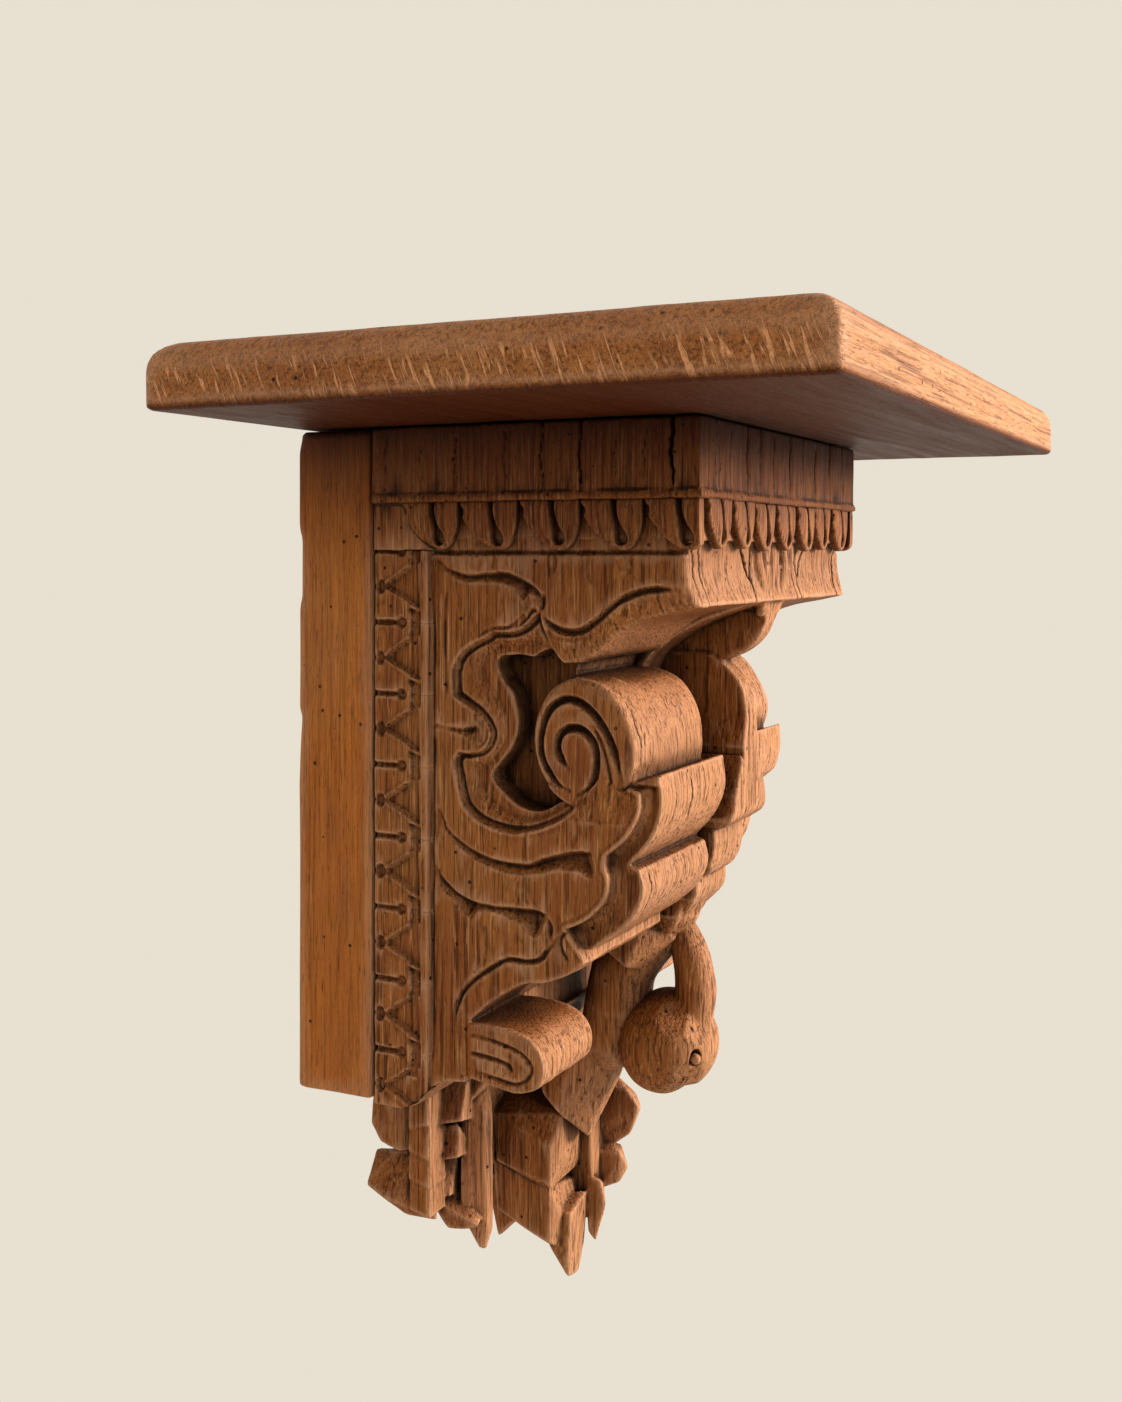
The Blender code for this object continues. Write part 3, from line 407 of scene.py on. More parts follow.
class BracketSizes(bpy.types.PropertyGroup):
    """The sizes that a user may change"""

    carving_cell: bpy.props.FloatProperty(
        name="Carving cell", default=0.6, min=0.3,
        description="Size of a cell of the carved block, in millimetres")
    board_cell: bpy.props.FloatProperty(
        name="Board cell", default=1.5, min=0.8,
        description="Size of a cell of a plain board, in millimetres")
    mark_depth: bpy.props.FloatProperty(
        name="Tool mark depth", default=0.30, min=0.0,
        description="Depth of the gouge marks, in millimetres")
    ring_spacing: bpy.props.FloatProperty(
        name="Ring spacing", default=2.4, min=0.5,
        description="Width of a growth ring, in millimetres")
    side_triangles: bpy.props.IntProperty(
        name="Side's triangles", default=198000, min=1000,
        description="Most triangles in the side that the camera sees")
    rest_triangles: bpy.props.IntProperty(
        name="Other triangles", default=110000, min=1000,
        description="Most triangles in the other side, the keel or the pendant")


class BracketColours(bpy.types.PropertyGroup):
    """The woods' colours"""

    carved_mid: bpy.props.FloatVectorProperty(
        name="Carved wood", description="The carved teak's own brown", subtype="COLOR", size=4,
        default=hex_colour("#7A4019"), min=0, max=1)
    carved_light: bpy.props.FloatVectorProperty(
        name="Carved wood, light", description="Lighter early wood in the carved teak", subtype="COLOR",
        size=4, default=hex_colour("#A06634"), min=0, max=1)
    # This colour is also the painted shade in the cuts and hollows
    recess: bpy.props.FloatVectorProperty(
        name="Recess", description="Old oil and dust in the cuts", subtype="COLOR", size=4,
        default=hex_colour("#1A0902"), min=0, max=1)
    # This colour is also the painted light on the front faces
    worn: bpy.props.FloatVectorProperty(
        name="Worn edge", description="Rubbed edges, pinkish and pale", subtype="COLOR", size=4,
        default=hex_colour("#C09272"), min=0, max=1)
    board_mid: bpy.props.FloatVectorProperty(
        name="Back board", description="The back board's orange brown", subtype="COLOR", size=4,
        default=hex_colour("#9C561E"), min=0, max=1)
    board_light: bpy.props.FloatVectorProperty(
        name="Back board, light", description="Lighter wood in the back board", subtype="COLOR", size=4,
        default=hex_colour("#B46E2E"), min=0, max=1)
    shelf_mid: bpy.props.FloatVectorProperty(
        name="Shelf board", description="The shelf board's brown", subtype="COLOR", size=4,
        default=hex_colour("#8C5028"), min=0, max=1)
    shelf_light: bpy.props.FloatVectorProperty(
        name="Shelf board, light", description="Lighter wood in the shelf board", subtype="COLOR", size=4,
        default=hex_colour("#B07440"), min=0, max=1)
    backdrop: bpy.props.FloatVectorProperty(
        name="Backdrop", description="The pale studio behind the bracket", subtype="COLOR", size=4,
        default=hex_colour("#E8E0D1"), min=0, max=1)


def to_frame(points, side=1):
    """Sheet points (across, out, drop) as frame metres, on the left where side is -1."""
    across, out, drop = points.T
    back = -BOARD_LOW.y
    depth = (-CORBEL_LOW.y - MM - back) / (SHEET_FRONT - SHEET_BACK)
    fall = (CORBEL_HIGH.z - CORBEL_LOW.z) / SHEET_TIP
    placed = np.empty_like(points)
    placed[:, 0] = side * across * MM
    placed[:, 1] = np.where(out < SHEET_BACK, -back * out / SHEET_BACK, -back - (out - SHEET_BACK) * depth)
    placed[:, 2] = CORBEL_HIGH.z - drop * fall
    return placed


def set_back_right(points):
    """The right-hand half's carving is shallower below the lip."""
    across, out, drop = points.T
    share = np.interp(drop, *zip(*RIGHT_CUTS))
    beside = np.clip((np.abs(across) - RIGHT_ACROSS[0]) / (RIGHT_ACROSS[1] - RIGHT_ACROSS[0]), 0, 1)
    moved = points.copy()
    moved[:, 1] -= np.maximum(out - RIGHT_FROM, 0) * share * beside
    return moved


def smooth_line(knots, closed=True, steps=6):
    """Points along a run of (out, drop) knots: a smooth line that is sharp at the corners."""
    places = np.array([knot[:2] for knot in knots], float)
    sharp = [knot[-1] == CORNER for knot in knots]
    count = len(knots)
    spans = count if closed else count - 1
    line = []
    for index in range(spans):
        start, end = places[index], places[(index + 1) % count]
        length = np.linalg.norm(end - start)
        pulls = []
        for knot in (index, (index + 1) % count):
            at_end = not closed and knot in (0, count - 1)
            along = end - start if sharp[knot] or at_end else places[(knot + 1) % count] - places[knot - 1]
            pulls.append(along / max(np.linalg.norm(along), 1e-6) * length)
        for share in np.arange(steps) / steps:
            square, cube = share ** 2, share ** 3
            line.append((2 * cube - 3 * square + 1) * start + (cube - 2 * square + share) * pulls[0]
                        + (3 * square - 2 * cube) * end + (cube - square) * pulls[1])
    if not closed:
        line.append(places[-1])
    return np.array(line, np.float32)


def run_distance(outs, drops, line, closed=False):
    """Distance of each grid point to a line of points, and its share of the way along the line."""
    near = np.full(np.broadcast(outs, drops).shape, 1e9, np.float32)
    way = np.zeros_like(near)
    ends = np.roll(line, -1, axis=0) if closed else line[1:]
    for step, ((out, drop), (next_out, next_drop)) in enumerate(zip(line, ends)):
        run_out, run_drop = next_out - out, next_drop - drop
        square = max(run_out ** 2 + run_drop ** 2, 1e-9)
        share = np.clip(((outs - out) * run_out + (drops - drop) * run_drop) / square, 0, 1)
        far = (outs - out - share * run_out) ** 2 + (drops - drop - share * run_drop) ** 2
        closer = far < near
        near = np.where(closer, far, near)
        way = np.where(closer, (step + share) / len(ends), way)
    return np.sqrt(near), way


def outline_field(outs, drops, knots):
    """Signed distance to a closed outline, below zero inside."""
    line = smooth_line(knots)
    near, _ = run_distance(outs, drops, line, closed=True)
    inside = np.zeros(near.shape, bool)
    for (out, drop), (next_out, next_drop) in zip(line, np.roll(line, -1, axis=0)):
        if next_drop == drop:
            continue
        level = (drops >= drop) != (drops >= next_drop)
        inside ^= level & (outs < out + (drops - drop) / (next_drop - drop) * (next_out - out))
    return np.where(inside, -near, near)


def cut_depth(outs, drops, steep, gentle, deepest):
    """How deep a cut goes: it falls fast from its steep edge and slowly from its gentle edge."""
    region = outline_field(outs, drops, list(steep) + list(gentle[-2:0:-1]))
    from_steep, _ = run_distance(outs, drops, smooth_line(steep, closed=False))
    from_gentle, _ = run_distance(outs, drops, smooth_line(gentle, closed=False))
    depth = np.minimum(np.minimum(from_steep * STEEP_FALL + 0.5, from_gentle * GENTLE_FALL), deepest)
    return np.where(region < 0, depth, 0)


def line_depth(outs, drops, route, width, deepest):
    """The depth of a V-shaped line that tapers to both ends."""
    near, way = run_distance(outs, drops, smooth_line(route, closed=False))
    half = width / 2 * np.clip(np.sin(np.clip(way, 0.02, 0.98) * math.pi) * 2.2, 0.25, 1)
    return np.clip(1 - near / half, 0, 1) ** 0.7 * deepest * np.clip(half / (width / 2), 0.3, 1)


def smooth_min(first, second, blend):
    """Both shapes joined, with a fillet about as wide as the blend."""
    mix = np.clip(0.5 + 0.5 * (second - first) / blend, 0, 1)
    return second + (first - second) * mix - blend * mix * (1 - mix)


def round_max(first, second, radius):
    """Both shapes' common part, with an edge of that radius."""
    outer = np.sqrt(np.maximum(first + radius, 0) ** 2 + np.maximum(second + radius, 0) ** 2) - radius
    return np.where((first > -radius) & (second > -radius), outer, np.maximum(first, second))


def value_noise(points, sizes, seed):
    """Smooth noise between 0 and 1 with a lump about the given size, in the points' own units."""
    table = np.random.default_rng(seed).random((32, 32, 32), dtype=np.float32)
    spots = points / np.asarray(sizes)
    base = np.floor(spots).astype(np.int64)
    share = spots - base
    share = share * share * (3 - 2 * share)
    total = np.zeros(len(points))
    for corner in itertools.product((0, 1), repeat=3):
        index = (base + corner) & 31
        weight = np.prod(np.where(corner, share, 1 - share), axis=1)
        total += table[index[:, 0], index[:, 1], index[:, 2]] * weight
    return total


class Block:
    """A block of wood on the carving sheet, as a grid of cells."""

    def __init__(self, low, high, cell):
        """Spans the block from its low corner to its high one; the last two arrays are its side view."""
        self.low = np.array(low, float)
        self.cell = cell
        runs = [start + cell * np.arange(int((end - start) / cell) + 1, dtype=np.float32)
                for start, end in zip(low, high)]
        self.across = runs[0][:, None, None]
        self.out = runs[1][None, :, None]
        self.drop = runs[2][None, None, :]
        self.outs = runs[1][:, None]
        self.drops = runs[2][None, :]


def route_field(block, route, radii, steps=8):
    """Signed distance to a round stem along a smooth route."""
    knots = np.array(route, float)
    fine = np.linspace(0, len(knots) - 1, steps * (len(knots) - 1) + 1)
    index = np.clip(fine.astype(int), 0, len(knots) - 2)
    share = (fine - index)[:, None]
    before, after = np.clip(index - 1, 0, None), np.clip(index + 2, None, len(knots) - 1)
    one, two = (knots[index + 1] - knots[before]) / 2, (knots[after] - knots[index]) / 2
    square, cube = share ** 2, share ** 3
    line = ((2 * cube - 3 * square + 1) * knots[index] + (cube - 2 * square + share) * one
            + (3 * square - 2 * cube) * knots[index + 1] + (cube - square) * two)
    widths = np.interp(fine, range(len(radii)), radii)
    best = None
    for start, end, thick, next_thick in zip(line, line[1:], widths, widths[1:]):
        run = end - start
        gaps = (block.across - start[0], block.out - start[1], block.drop - start[2])
        way = np.clip((gaps[0] * run[0] + gaps[1] * run[1] + gaps[2] * run[2]) / max(run @ run, 1e-6), 0, 1)
        square = sum((gap - way * part) ** 2 for gap, part in zip(gaps, run))
        far = np.sqrt(square) - thick - (next_thick - thick) * way
        best = far if best is None else np.minimum(best, far)
    return best.astype(np.float32)


def ball_field(block, centre, radii):
    """Roughly the signed distance to an egg."""
    scaled = np.sqrt(((block.across - centre[0]) / radii[0]) ** 2 + ((block.out - centre[1]) / radii[1]) ** 2
                     + ((block.drop - centre[2]) / radii[2]) ** 2)
    return (scaled - 1) * min(radii)


def near_part(block, low, high):
    """The cells between two corners, as index ranges and as a smaller block."""
    runs = (block.across.ravel(), block.out.ravel(), block.drop.ravel())
    ranges = tuple(slice(*np.searchsorted(run, (start, end))) for run, start, end in zip(runs, low, high))
    small = SimpleNamespace(across=block.across[ranges[0]], out=block.out[:, ranges[1]],
                            drop=block.drop[:, :, ranges[2]])
    return ranges, small


def join_route(block, wood, route, radii, blend):
    """Joins a round stem to the wood."""
    knots, pad = np.array(route, float), max(radii) + 4
    ranges, small = near_part(block, knots.min(0) - pad, knots.max(0) + pad)
    wood[ranges] = smooth_min(wood[ranges], route_field(small, route, radii), blend)


def join_facets(block, wood, corners, side):
    """Joins a block to the wood, with flat facets that wrap its corners."""
    shape = bmesh.new()
    for across, out, drop in corners:
        shape.verts.new((side * across, out, drop))
    bmesh.ops.convex_hull(shape, input=shape.verts)
    bmesh.ops.recalc_face_normals(shape, faces=shape.faces)
    spots = np.array([vert.co for vert in shape.verts])
    ranges, small = near_part(block, spots.min(0) - 3, spots.max(0) + 3)
    field = np.full(wood[ranges].shape, -90, np.float32)
    for face in shape.faces:
        normal, spot = face.normal, face.calc_center_median()
        reach = small.out * normal.y + small.drop * normal.z - spot @ normal
        field = np.maximum(field, small.across * normal.x + reach)
    shape.free()
    wood[ranges] = np.minimum(wood[ranges], field)


def soften(field):
    """Takes the sharpness off each edge by a third of a cell."""
    for axis in range(3):
        inner = np.swapaxes(field, 0, axis)
        inner[1:-1] = (inner[:-2] + 2 * inner[1:-1] + inner[2:]) / 4
    return field


def surface(block, field):
    """The block's surface as sheet points and faces of four."""
    limit = 3 * block.cell
    grid = openvdb.FloatGrid(background=limit)
    grid.copyFromArray(np.ascontiguousarray(np.clip(soften(field), -limit, limit), np.float32))
    points, _, quads = grid.convertToPolygons(isovalue=0.0, adaptivity=0.0)
    return block.low + points.astype(float) * block.cell, quads


def vertex_places(mesh):
    """The mesh's points as an array."""
    places = np.empty(len(mesh.vertices) * 3, np.float32)
    mesh.vertices.foreach_get("co", places)
    return places.reshape(-1, 3).astype(float)


def vertex_normals(mesh):
    """The way each point of the mesh faces."""
    normals = np.empty(len(mesh.vertices) * 3, np.float32)
    mesh.vertex_normals.foreach_get("vector", normals)
    return normals.reshape(-1, 3).astype(float)


def tool_marks(points, seed, depth):
    """How far the gouge and the open grain move a surface point, in millimetres."""
    facets = value_noise(points, (6, 6, 10), seed) - 0.5
    grain = value_noise(points, (1.3, 1.3, 45), seed + 2)
    return depth * (1.6 * facets - 0.9 * np.clip(grain - 0.62, 0, 1))


def mark_wear_shade_and_light(mesh):
    """Writes how hollow and how sharp the surface is at each vertex, for the wood to darken with dirt and
    painted shade and to pale with wear, and how far it faces the front, for painted light.
    """
    places = vertex_places(mesh)
    normals = vertex_normals(mesh)
    edges = np.empty(len(mesh.edges) * 2, np.int32)
    mesh.edges.foreach_get("vertices", edges)
    first, second = edges.reshape(-1, 2).T
    count = np.maximum(np.bincount(edges, minlength=len(places)), 1)
    eased = places.copy()
    for step in range(1, 25):
        total = np.empty_like(eased)
        for axis in range(3):
            total[:, axis] = (np.bincount(first, eased[second, axis], len(places))
                              + np.bincount(second, eased[first, axis], len(places)))
        eased = total / count[:, None]
        if step == 3:
            close = ((eased - places) * normals).sum(1)
    wide = ((eased - places) * normals).sum(1)
    # Hollows are darkened both by dirt and by painted shade
    hollow = np.clip(close / (0.22 * MM) - 0.12, 0, 1) * 0.8 + np.clip(wide / (1.6 * MM) - 0.1, 0, 1) * 0.35
    edge = np.clip(-close / (0.2 * MM) - 0.1, 0, 1) * 0.7 + np.clip(-wide / (1.4 * MM), 0, 1) * 0.3
    # Painted light: the more a face turns to the front, where the lamp stands, the paler it is painted
    painted_front_light = np.clip(-normals[:, 1] * 1.3 - 0.25, 0, 1)
    for name, values in (("hollow", hollow), ("edge", edge), ("painted_front_light", painted_front_light)):
        layer = mesh.attributes.new(name, "FLOAT", "POINT")
        layer.data.foreach_set("value", values.astype(np.float32))


def settled_mesh(item):
    """The object's mesh with its modifiers worked in, and the modifiers gone."""
    bpy.context.view_layer.update()
    mesh = bpy.data.meshes.new_from_object(item.evaluated_get(bpy.context.evaluated_depsgraph_get()))
    old = item.data
    item.modifiers.clear()
    item.data = mesh
    if old.users == 0:
        bpy.data.meshes.remove(old)
    mesh.name = item.name
    return mesh


def thin_out(item, budget):
    """Merges flat stretches until the piece is within its budget of triangles."""
    triangles = sum(len(face.vertices) - 2 for face in item.data.polygons)
    if triangles > budget:
        thin = item.modifiers.new("Thin out", "DECIMATE")
        thin.ratio = budget / triangles
        thin.use_collapse_triangulate = True
        settled_mesh(item)


def build_mesh(name, points, faces):
    """A mesh from arrays of points and faces."""
    mesh = bpy.data.meshes.new(name)
    mesh.from_pydata(points, [], faces)
    mesh.update()
    return mesh


def show(name, mesh):
    """A new object in the scene that carries the mesh."""
    item = bpy.data.objects.new(name, mesh)
    bpy.context.scene.collection.objects.link(item)
    return item


def mark_painted_shelf_shade(mesh):
    """Writes the painted shade under the shelf board: the wood darkens towards the shelf, and the shelf's
    underside darkens where it faces down.
    """
    places, normals = vertex_places(mesh), vertex_normals(mesh)
    near_shelf = np.clip((places[:, 2] - CORBEL_HIGH.z + PAINTED_SHADE_REACH) / PAINTED_SHADE_REACH, 0, 1) ** 1.2
    above = places[:, 2] > CORBEL_HIGH.z
    values = np.where(above, np.clip(-normals[:, 2] * 1.5, 0, 1), near_shelf)
    mesh.attributes.new("painted_shelf_shade", "FLOAT", "POINT").data.foreach_set("value", values.astype(np.float32))


def finish_piece(item, material, slot, *nodes):
    """Shades a finished piece smooth, gives it its wood, marks its wear, its painted shade and its painted
    light, and hands it to the frame.
    """
    item.data.materials.clear()
    item.data.materials.append(material)
    item.data.shade_smooth()
    mark_wear_shade_and_light(item.data)
    mark_painted_shelf_shade(item.data)
    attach(item, BODY)
    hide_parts(*nodes)


def carve(name, points, faces, place, seed, budget, flip=False):
    """A carved piece from its sheet points: tool marks along the normals, then its place in the frame."""
    mesh = build_mesh(name, points, faces)
    normals = vertex_normals(mesh)
    depth = tool_marks(points, seed, bpy.context.scene.bracket_sizes.mark_depth)
    placed = place(points + normals * depth[:, None])
    bpy.data.meshes.remove(mesh)
    item = show(name, build_mesh(name, placed, faces[:, ::-1] if flip else faces))
    thin_out(item, budget)
    return item


def add_node(tree, kind, settings=None, inputs=None):
    """Adds a node, sets its options, and fills its sockets with values or links."""
    item = tree.nodes.new(kind)
    for name, value in (settings or {}).items():
        setattr(item, name, value)
    for key, value in (inputs or {}).items():
        socket = item.inputs[key]
        if isinstance(value, bpy.types.NodeSocket):
            tree.links.new(value, socket)
        else:
            socket.default_value = value
    return item


def wood_material(name, mid, light, along, heart, roughness, weather=1.0, sawn=False):
    """Teak with growth rings round its heart. Rings, pores and streaks run along one axis (0, 1 or 2)."""
    sizes = bpy.context.scene.bracket_sizes
    colours = bpy.context.scene.bracket_colours
    material = bpy.data.materials.new(name)
    material.use_nodes = True
    tree = material.node_tree
    tree.nodes.clear()
    place = add_node(tree, "ShaderNodeTexCoord").outputs["Object"]

    def stretched(across_mm, along_mm, offset=0.0):
        """Coordinates whose unit is the pattern's size across and along the grain."""
        scale = [1 / (across_mm * MM)] * 3
        scale[along] = 1 / (along_mm * MM)
        mapping = add_node(tree, "ShaderNodeMapping", None,
                           {"Vector": place, "Scale": scale, "Location": (offset, offset, offset)})
        return mapping.outputs["Vector"]

    def noise(vector, detail=2.0, distortion=0.0):
        """Smooth noise about 0.5."""
        cloud = add_node(tree, "ShaderNodeTexNoise", None,
                         {"Vector": vector, "Scale": 1.0, "Detail": detail, "Distortion": distortion})
        return cloud.outputs["Fac"]

    def between(value, low, high, to_low=0.0, to_high=1.0):
        """The value's place between two limits, carried over to two others."""
        limits = {"Value": value, "From Min": low, "From Max": high, "To Min": to_low, "To Max": to_high}
        span = add_node(tree, "ShaderNodeMapRange", None, limits)
        return span.outputs["Result"]

    def blend(factor, first, second):
        """The first colour, with the factor's share of the second."""
        mixer = add_node(tree, "ShaderNodeMix", {"data_type": "RGBA"})
        for number, value in ((0, factor), (6, first), (7, second)):
            socket = mixer.inputs[number]
            if isinstance(value, bpy.types.NodeSocket):
                tree.links.new(value, socket)
            else:
                socket.default_value = value
        return mixer.outputs[2]

    def combine(kind, first, second):
        """Two numbers added or multiplied."""
        return add_node(tree, "ShaderNodeMath", {"operation": kind}, {0: first, 1: second}).outputs[0]

    def wave(value):
        """The sine of a number."""
        return add_node(tree, "ShaderNodeMath", {"operation": "SINE"}, {0: value}).outputs[0]

    def painted(name):
        """A value that is kept at each point of the mesh."""
        return add_node(tree, "ShaderNodeAttribute", {"attribute_name": name}).outputs["Fac"]

    # Growth rings: a sine of the distance from the heart, bent by a slow noise
    turn = [1.0, 1.0, 1.0]
    turn[along] = 0.06
    move = [-spot * scale for spot, scale in zip(heart, turn)]
    from_heart = add_node(tree, "ShaderNodeMapping", None,
                          {"Vector": place, "Location": move, "Scale": turn})
    bend = noise(stretched(22, 150), 3.0)
    radius = add_node(tree, "ShaderNodeVectorMath", {"operation": "LENGTH"},
                      {0: from_heart.outputs["Vector"]}).outputs["Value"]
    ring_way = combine("ADD", combine("MULTIPLY", radius, math.tau / (sizes.ring_spacing * MM)),
                       combine("MULTIPLY", bend, 26.0))
    rings = between(wave(ring_way), -1, 1)
    figure = noise(stretched(7, 110, 3.0), 4.0, 0.5)
    tone = combine("ADD", combine("MULTIPLY", rings, 0.30), between(figure, 0.32, 0.68, 0.0, 0.6))
    colour = blend(tone, mid, light)

    # Slow patches, redder or paler than the rest, and painted light: the faces turned to the front lamp are
    # painted paler
    patches = noise(stretched(45, 70, 9.0), 2.0)
    colour = blend(between(patches, 0.5, 0.75, 0.0, 0.5), colour, hex_colour(RED_PATCH))
    colour = blend(between(patches, 0.45, 0.25, 0.0, 0.3), colour, hex_colour(PALE_PATCH))
    # Painted shade under the shelf board, kept at each point of the mesh
    painted_shelf_shade = painted("painted_shelf_shade")
    # Painted light on the front faces, weaker in the painted shade under the shelf
    painted_front_light = combine("MULTIPLY", painted("painted_front_light"), between(painted_shelf_shade, 0.6, 0.1))
    colour = blend(combine("MULTIPLY", painted_front_light, 0.55), colour, colours.worn)

    # Long grain lines, fine dark streaks, open pores and thin pale scratches, all along the grain
    grain_way = combine("MULTIPLY", noise(stretched(12, 120, 6.0), 3.0, 0.8), 190.0)
    grain = between(wave(grain_way), 0.55, 1.0)
    streaks = between(noise(stretched(1.3, 55, 5.0), 3.0, 0.4), 0.52, 0.66)
    pores = between(noise(stretched(0.5, 8, 7.0), 2.0), 0.64, 0.74)
    scratches = between(noise(stretched(0.9, 26, 11.0), 3.0, 0.5), 0.55, 0.66)
    cells = add_node(tree, "ShaderNodeTexVoronoi", None, {"Vector": stretched(9, 9), "Scale": 1.0})
    holes = between(cells.outputs["Distance"], 0.09, 0.06)
    colour = blend(combine("MULTIPLY", grain, 0.40 * weather), colour, hex_colour(GRAIN_LINE))
    colour = blend(combine("MULTIPLY", streaks, 0.72 * weather), colour, hex_colour(STREAK))
    colour = blend(combine("MULTIPLY", pores, 0.5), colour, hex_colour(PORE))
    colour = blend(combine("MULTIPLY", scratches, 0.62 * weather), colour, hex_colour(SCRATCH))
    colour = blend(combine("MULTIPLY", holes, 0.9), colour, colours.recess)

    # Slanting strokes of the saw across the end grain
    strokes = 0.0
    if sawn:
        turned = add_node(tree, "ShaderNodeMapping", None, {"Vector": place, "Rotation": (SAW_SLANT, 0, 0)})
        slanted = add_node(tree, "ShaderNodeMapping", None,
                           {"Vector": turned.outputs["Vector"],
                            "Scale": (1 / (60 * MM), 1 / (1.5 * MM), 1 / (11 * MM))}).outputs["Vector"]
        strokes = combine("MULTIPLY", between(noise(slanted, 2.0, 0.6), 0.53, 0.64), painted("sawn"))
        colour = blend(combine("MULTIPLY", strokes, 0.75), colour, hex_colour(SAW_STROKE))

    # Painted shade under the shelf board, old oil and dust in the cuts with painted shade over them, and
    # edges rubbed pale
    colour = blend(combine("MULTIPLY", painted_shelf_shade, 0.92), colour, hex_colour(PAINTED_SHADE_COLOUR))
    # Painted shade: occlusion and hollowness darken the cuts towards the recess colour, over the real dirt
    # in them
    painted_occlusion = add_node(tree, "ShaderNodeAmbientOcclusion", {"samples": 6}, {"Distance": 0.022}).outputs["AO"]
    colour = blend(between(painted_occlusion, 0.9, 0.2, 0.0, 0.95), colour, colours.recess)
    colour = blend(between(painted("hollow"), 0.1, 0.8, 0.0, 0.85), colour, colours.recess)
    rubbed = between(painted("edge"), 0.25, 1.0, 0.0, 0.62 * weather)
    rubbed = combine("MULTIPLY", rubbed, between(painted_shelf_shade, 0.5, 0.0))
    colour = blend(rubbed, colour, colours.worn)

    height = combine("ADD", combine("MULTIPLY", streaks, -0.5), combine("MULTIPLY", pores, -0.5))
    height = combine("ADD", height, combine("MULTIPLY", scratches, 0.35))
    height = combine("ADD", height, combine("MULTIPLY", noise(stretched(1.4, 3.2, 2.0), 3.0), 0.7))
    height = combine("ADD", height, combine("MULTIPLY", holes, -1.2))
    height = combine("ADD", height, combine("MULTIPLY", strokes, 1.4))
    bump = add_node(tree, "ShaderNodeBump", None, {"Strength": 1.0, "Distance": 0.6 * MM, "Height": height})
    shine = between(figure, 0.3, 0.7, roughness - 0.08, roughness + 0.1)
    shader = add_node(tree, "ShaderNodeBsdfPrincipled", None,
                      {"Base Color": colour, "Roughness": shine, "Normal": bump.outputs["Normal"],
                       "IOR": 1.5, "Specular IOR Level": 0.1})
    add_node(tree, "ShaderNodeOutputMaterial", None, {"Surface": shader.outputs["BSDF"]})
    return material


def carved_teak():
    """Teak, carved by hand, oiled and handled for years: streaked, dark in the cuts from dirt and painted
    shade, pale on the edges, with painted shade under the shelf and painted light on the fronts.
    """
    found = bpy.data.materials.get("teak_hand_carved")
    colours = bpy.context.scene.bracket_colours
    return found or wood_material("teak_hand_carved", colours.carved_mid, colours.carved_light, 2,
                                  CARVED_HEART, 0.55)


def side_face(block):
    """How far the side face stands from the middle: the plate with its cuts, ribbon, rim and hatching."""
    outs, drops = block.outs, block.drops
    depth = np.zeros(np.broadcast(outs, drops).shape, np.float32)
    for steep, gentle, deepest in CUTS.values():
        depth = np.maximum(depth, cut_depth(outs, drops, steep, gentle, deepest))
    for route, width, deepest in LINES.values():
        depth = np.maximum(depth, line_depth(outs, drops, route, width, deepest))
    for step, (out, top, foot) in enumerate(SIDE_CRACKS):
        sway = 0.5 * (-1) ** step
        route = ((out, top), (out + sway, (top + foot) / 2), (out - sway, foot))
        depth = np.maximum(depth, line_depth(outs, drops, route, 0.9, 1.4))

    # The ribbon steps down from the face, then falls away to the pocket with a round back
    ribbon = outline_field(outs, drops, RIBBON)
    pocket = outline_field(outs, drops, POCKET)
    inward = np.clip(-ribbon, 0, None)
    share = inward / np.maximum(inward + np.clip(pocket, 0, None), 0.3)
    slope = np.where(ribbon < 0, 2.6 + 9 * share ** 2.2, 0)
    groove = np.clip(1 - np.abs(ribbon + 1.1) / 1.3, 0, 1) ** 0.7 * 5.2
    depth = np.maximum(np.maximum(depth, slope), groove)
    lip_edge = np.clip(1 - np.abs(ribbon - 0.9) / 0.9, 0, 1) * 0.35

    # The lip's rim leans back to the soffit and carries slanting cuts
    soffit, way = run_distance(outs, drops, smooth_line(SOFFIT, closed=False))
    rim = np.clip(1 - soffit / 9, 0, 1) * (outs > 111) * (ribbon > 0)
    hatch = np.clip(np.sin(way * 260 + soffit * 0.35), 0, 1) ** 2 * np.clip((0.62 - way) / 0.1, 0, 1)
    depth = np.maximum(depth, 3.2 * rim ** 1.4 + 0.8 * hatch * np.clip(rim * 4, 0, 1))

    # The plate's edge over the leaves is a fine raised line, and the plate sinks a little to the volute
    edge, _ = run_distance(outs, drops, smooth_line(PLATE_LEAVES, closed=False))
    line = np.clip(1 - np.abs(edge - 0.8) / 0.8, 0, 1) * 0.6
    line = line - np.clip(1 - np.abs(edge - 2.2) / 0.7, 0, 1) * 0.6
    sink = 2.0 * np.clip((154 - drops) / 13, 0, 1) * (outs > 121) * (drops > 98) * (ribbon > 0)
    sink = sink + 2.4 * (outs < 62.6) * (drops > 50.4) * (drops < 262)
    sink = sink + 1.6 * (drops < 50.4) * (outs > 50)
    sink = sink + 2.4 * np.clip(1 - np.abs(drops - 50.8) / 0.9, 0, 1) * (outs > 62)
    return FIELD_FACE + line + lip_edge - np.maximum(depth, sink)


def cut_cracks(block, wood, body, cracks):
    """Opens thin cracks in the fronts, each no deeper than its depth."""
    for across, slant, width, depth, top, foot in cracks:
        rows = (block.drop[0, 0] > top) & (block.drop[0, 0] < foot)
        drop = block.drop[:, :, rows]
        taper = np.sin((drop - top) / (foot - top) * math.pi) ** 0.5
        middle = across + slant * (drop - top) + 0.5 * np.sin(drop * 0.55) + 0.25 * np.sin(drop * 1.9)
        floor = body[None][:, :, rows] + depth * taper
        gap = np.maximum(np.abs(block.across - middle) - width * taper, -floor)
        wood[:, :, rows] = np.maximum(wood[:, :, rows], -gap)


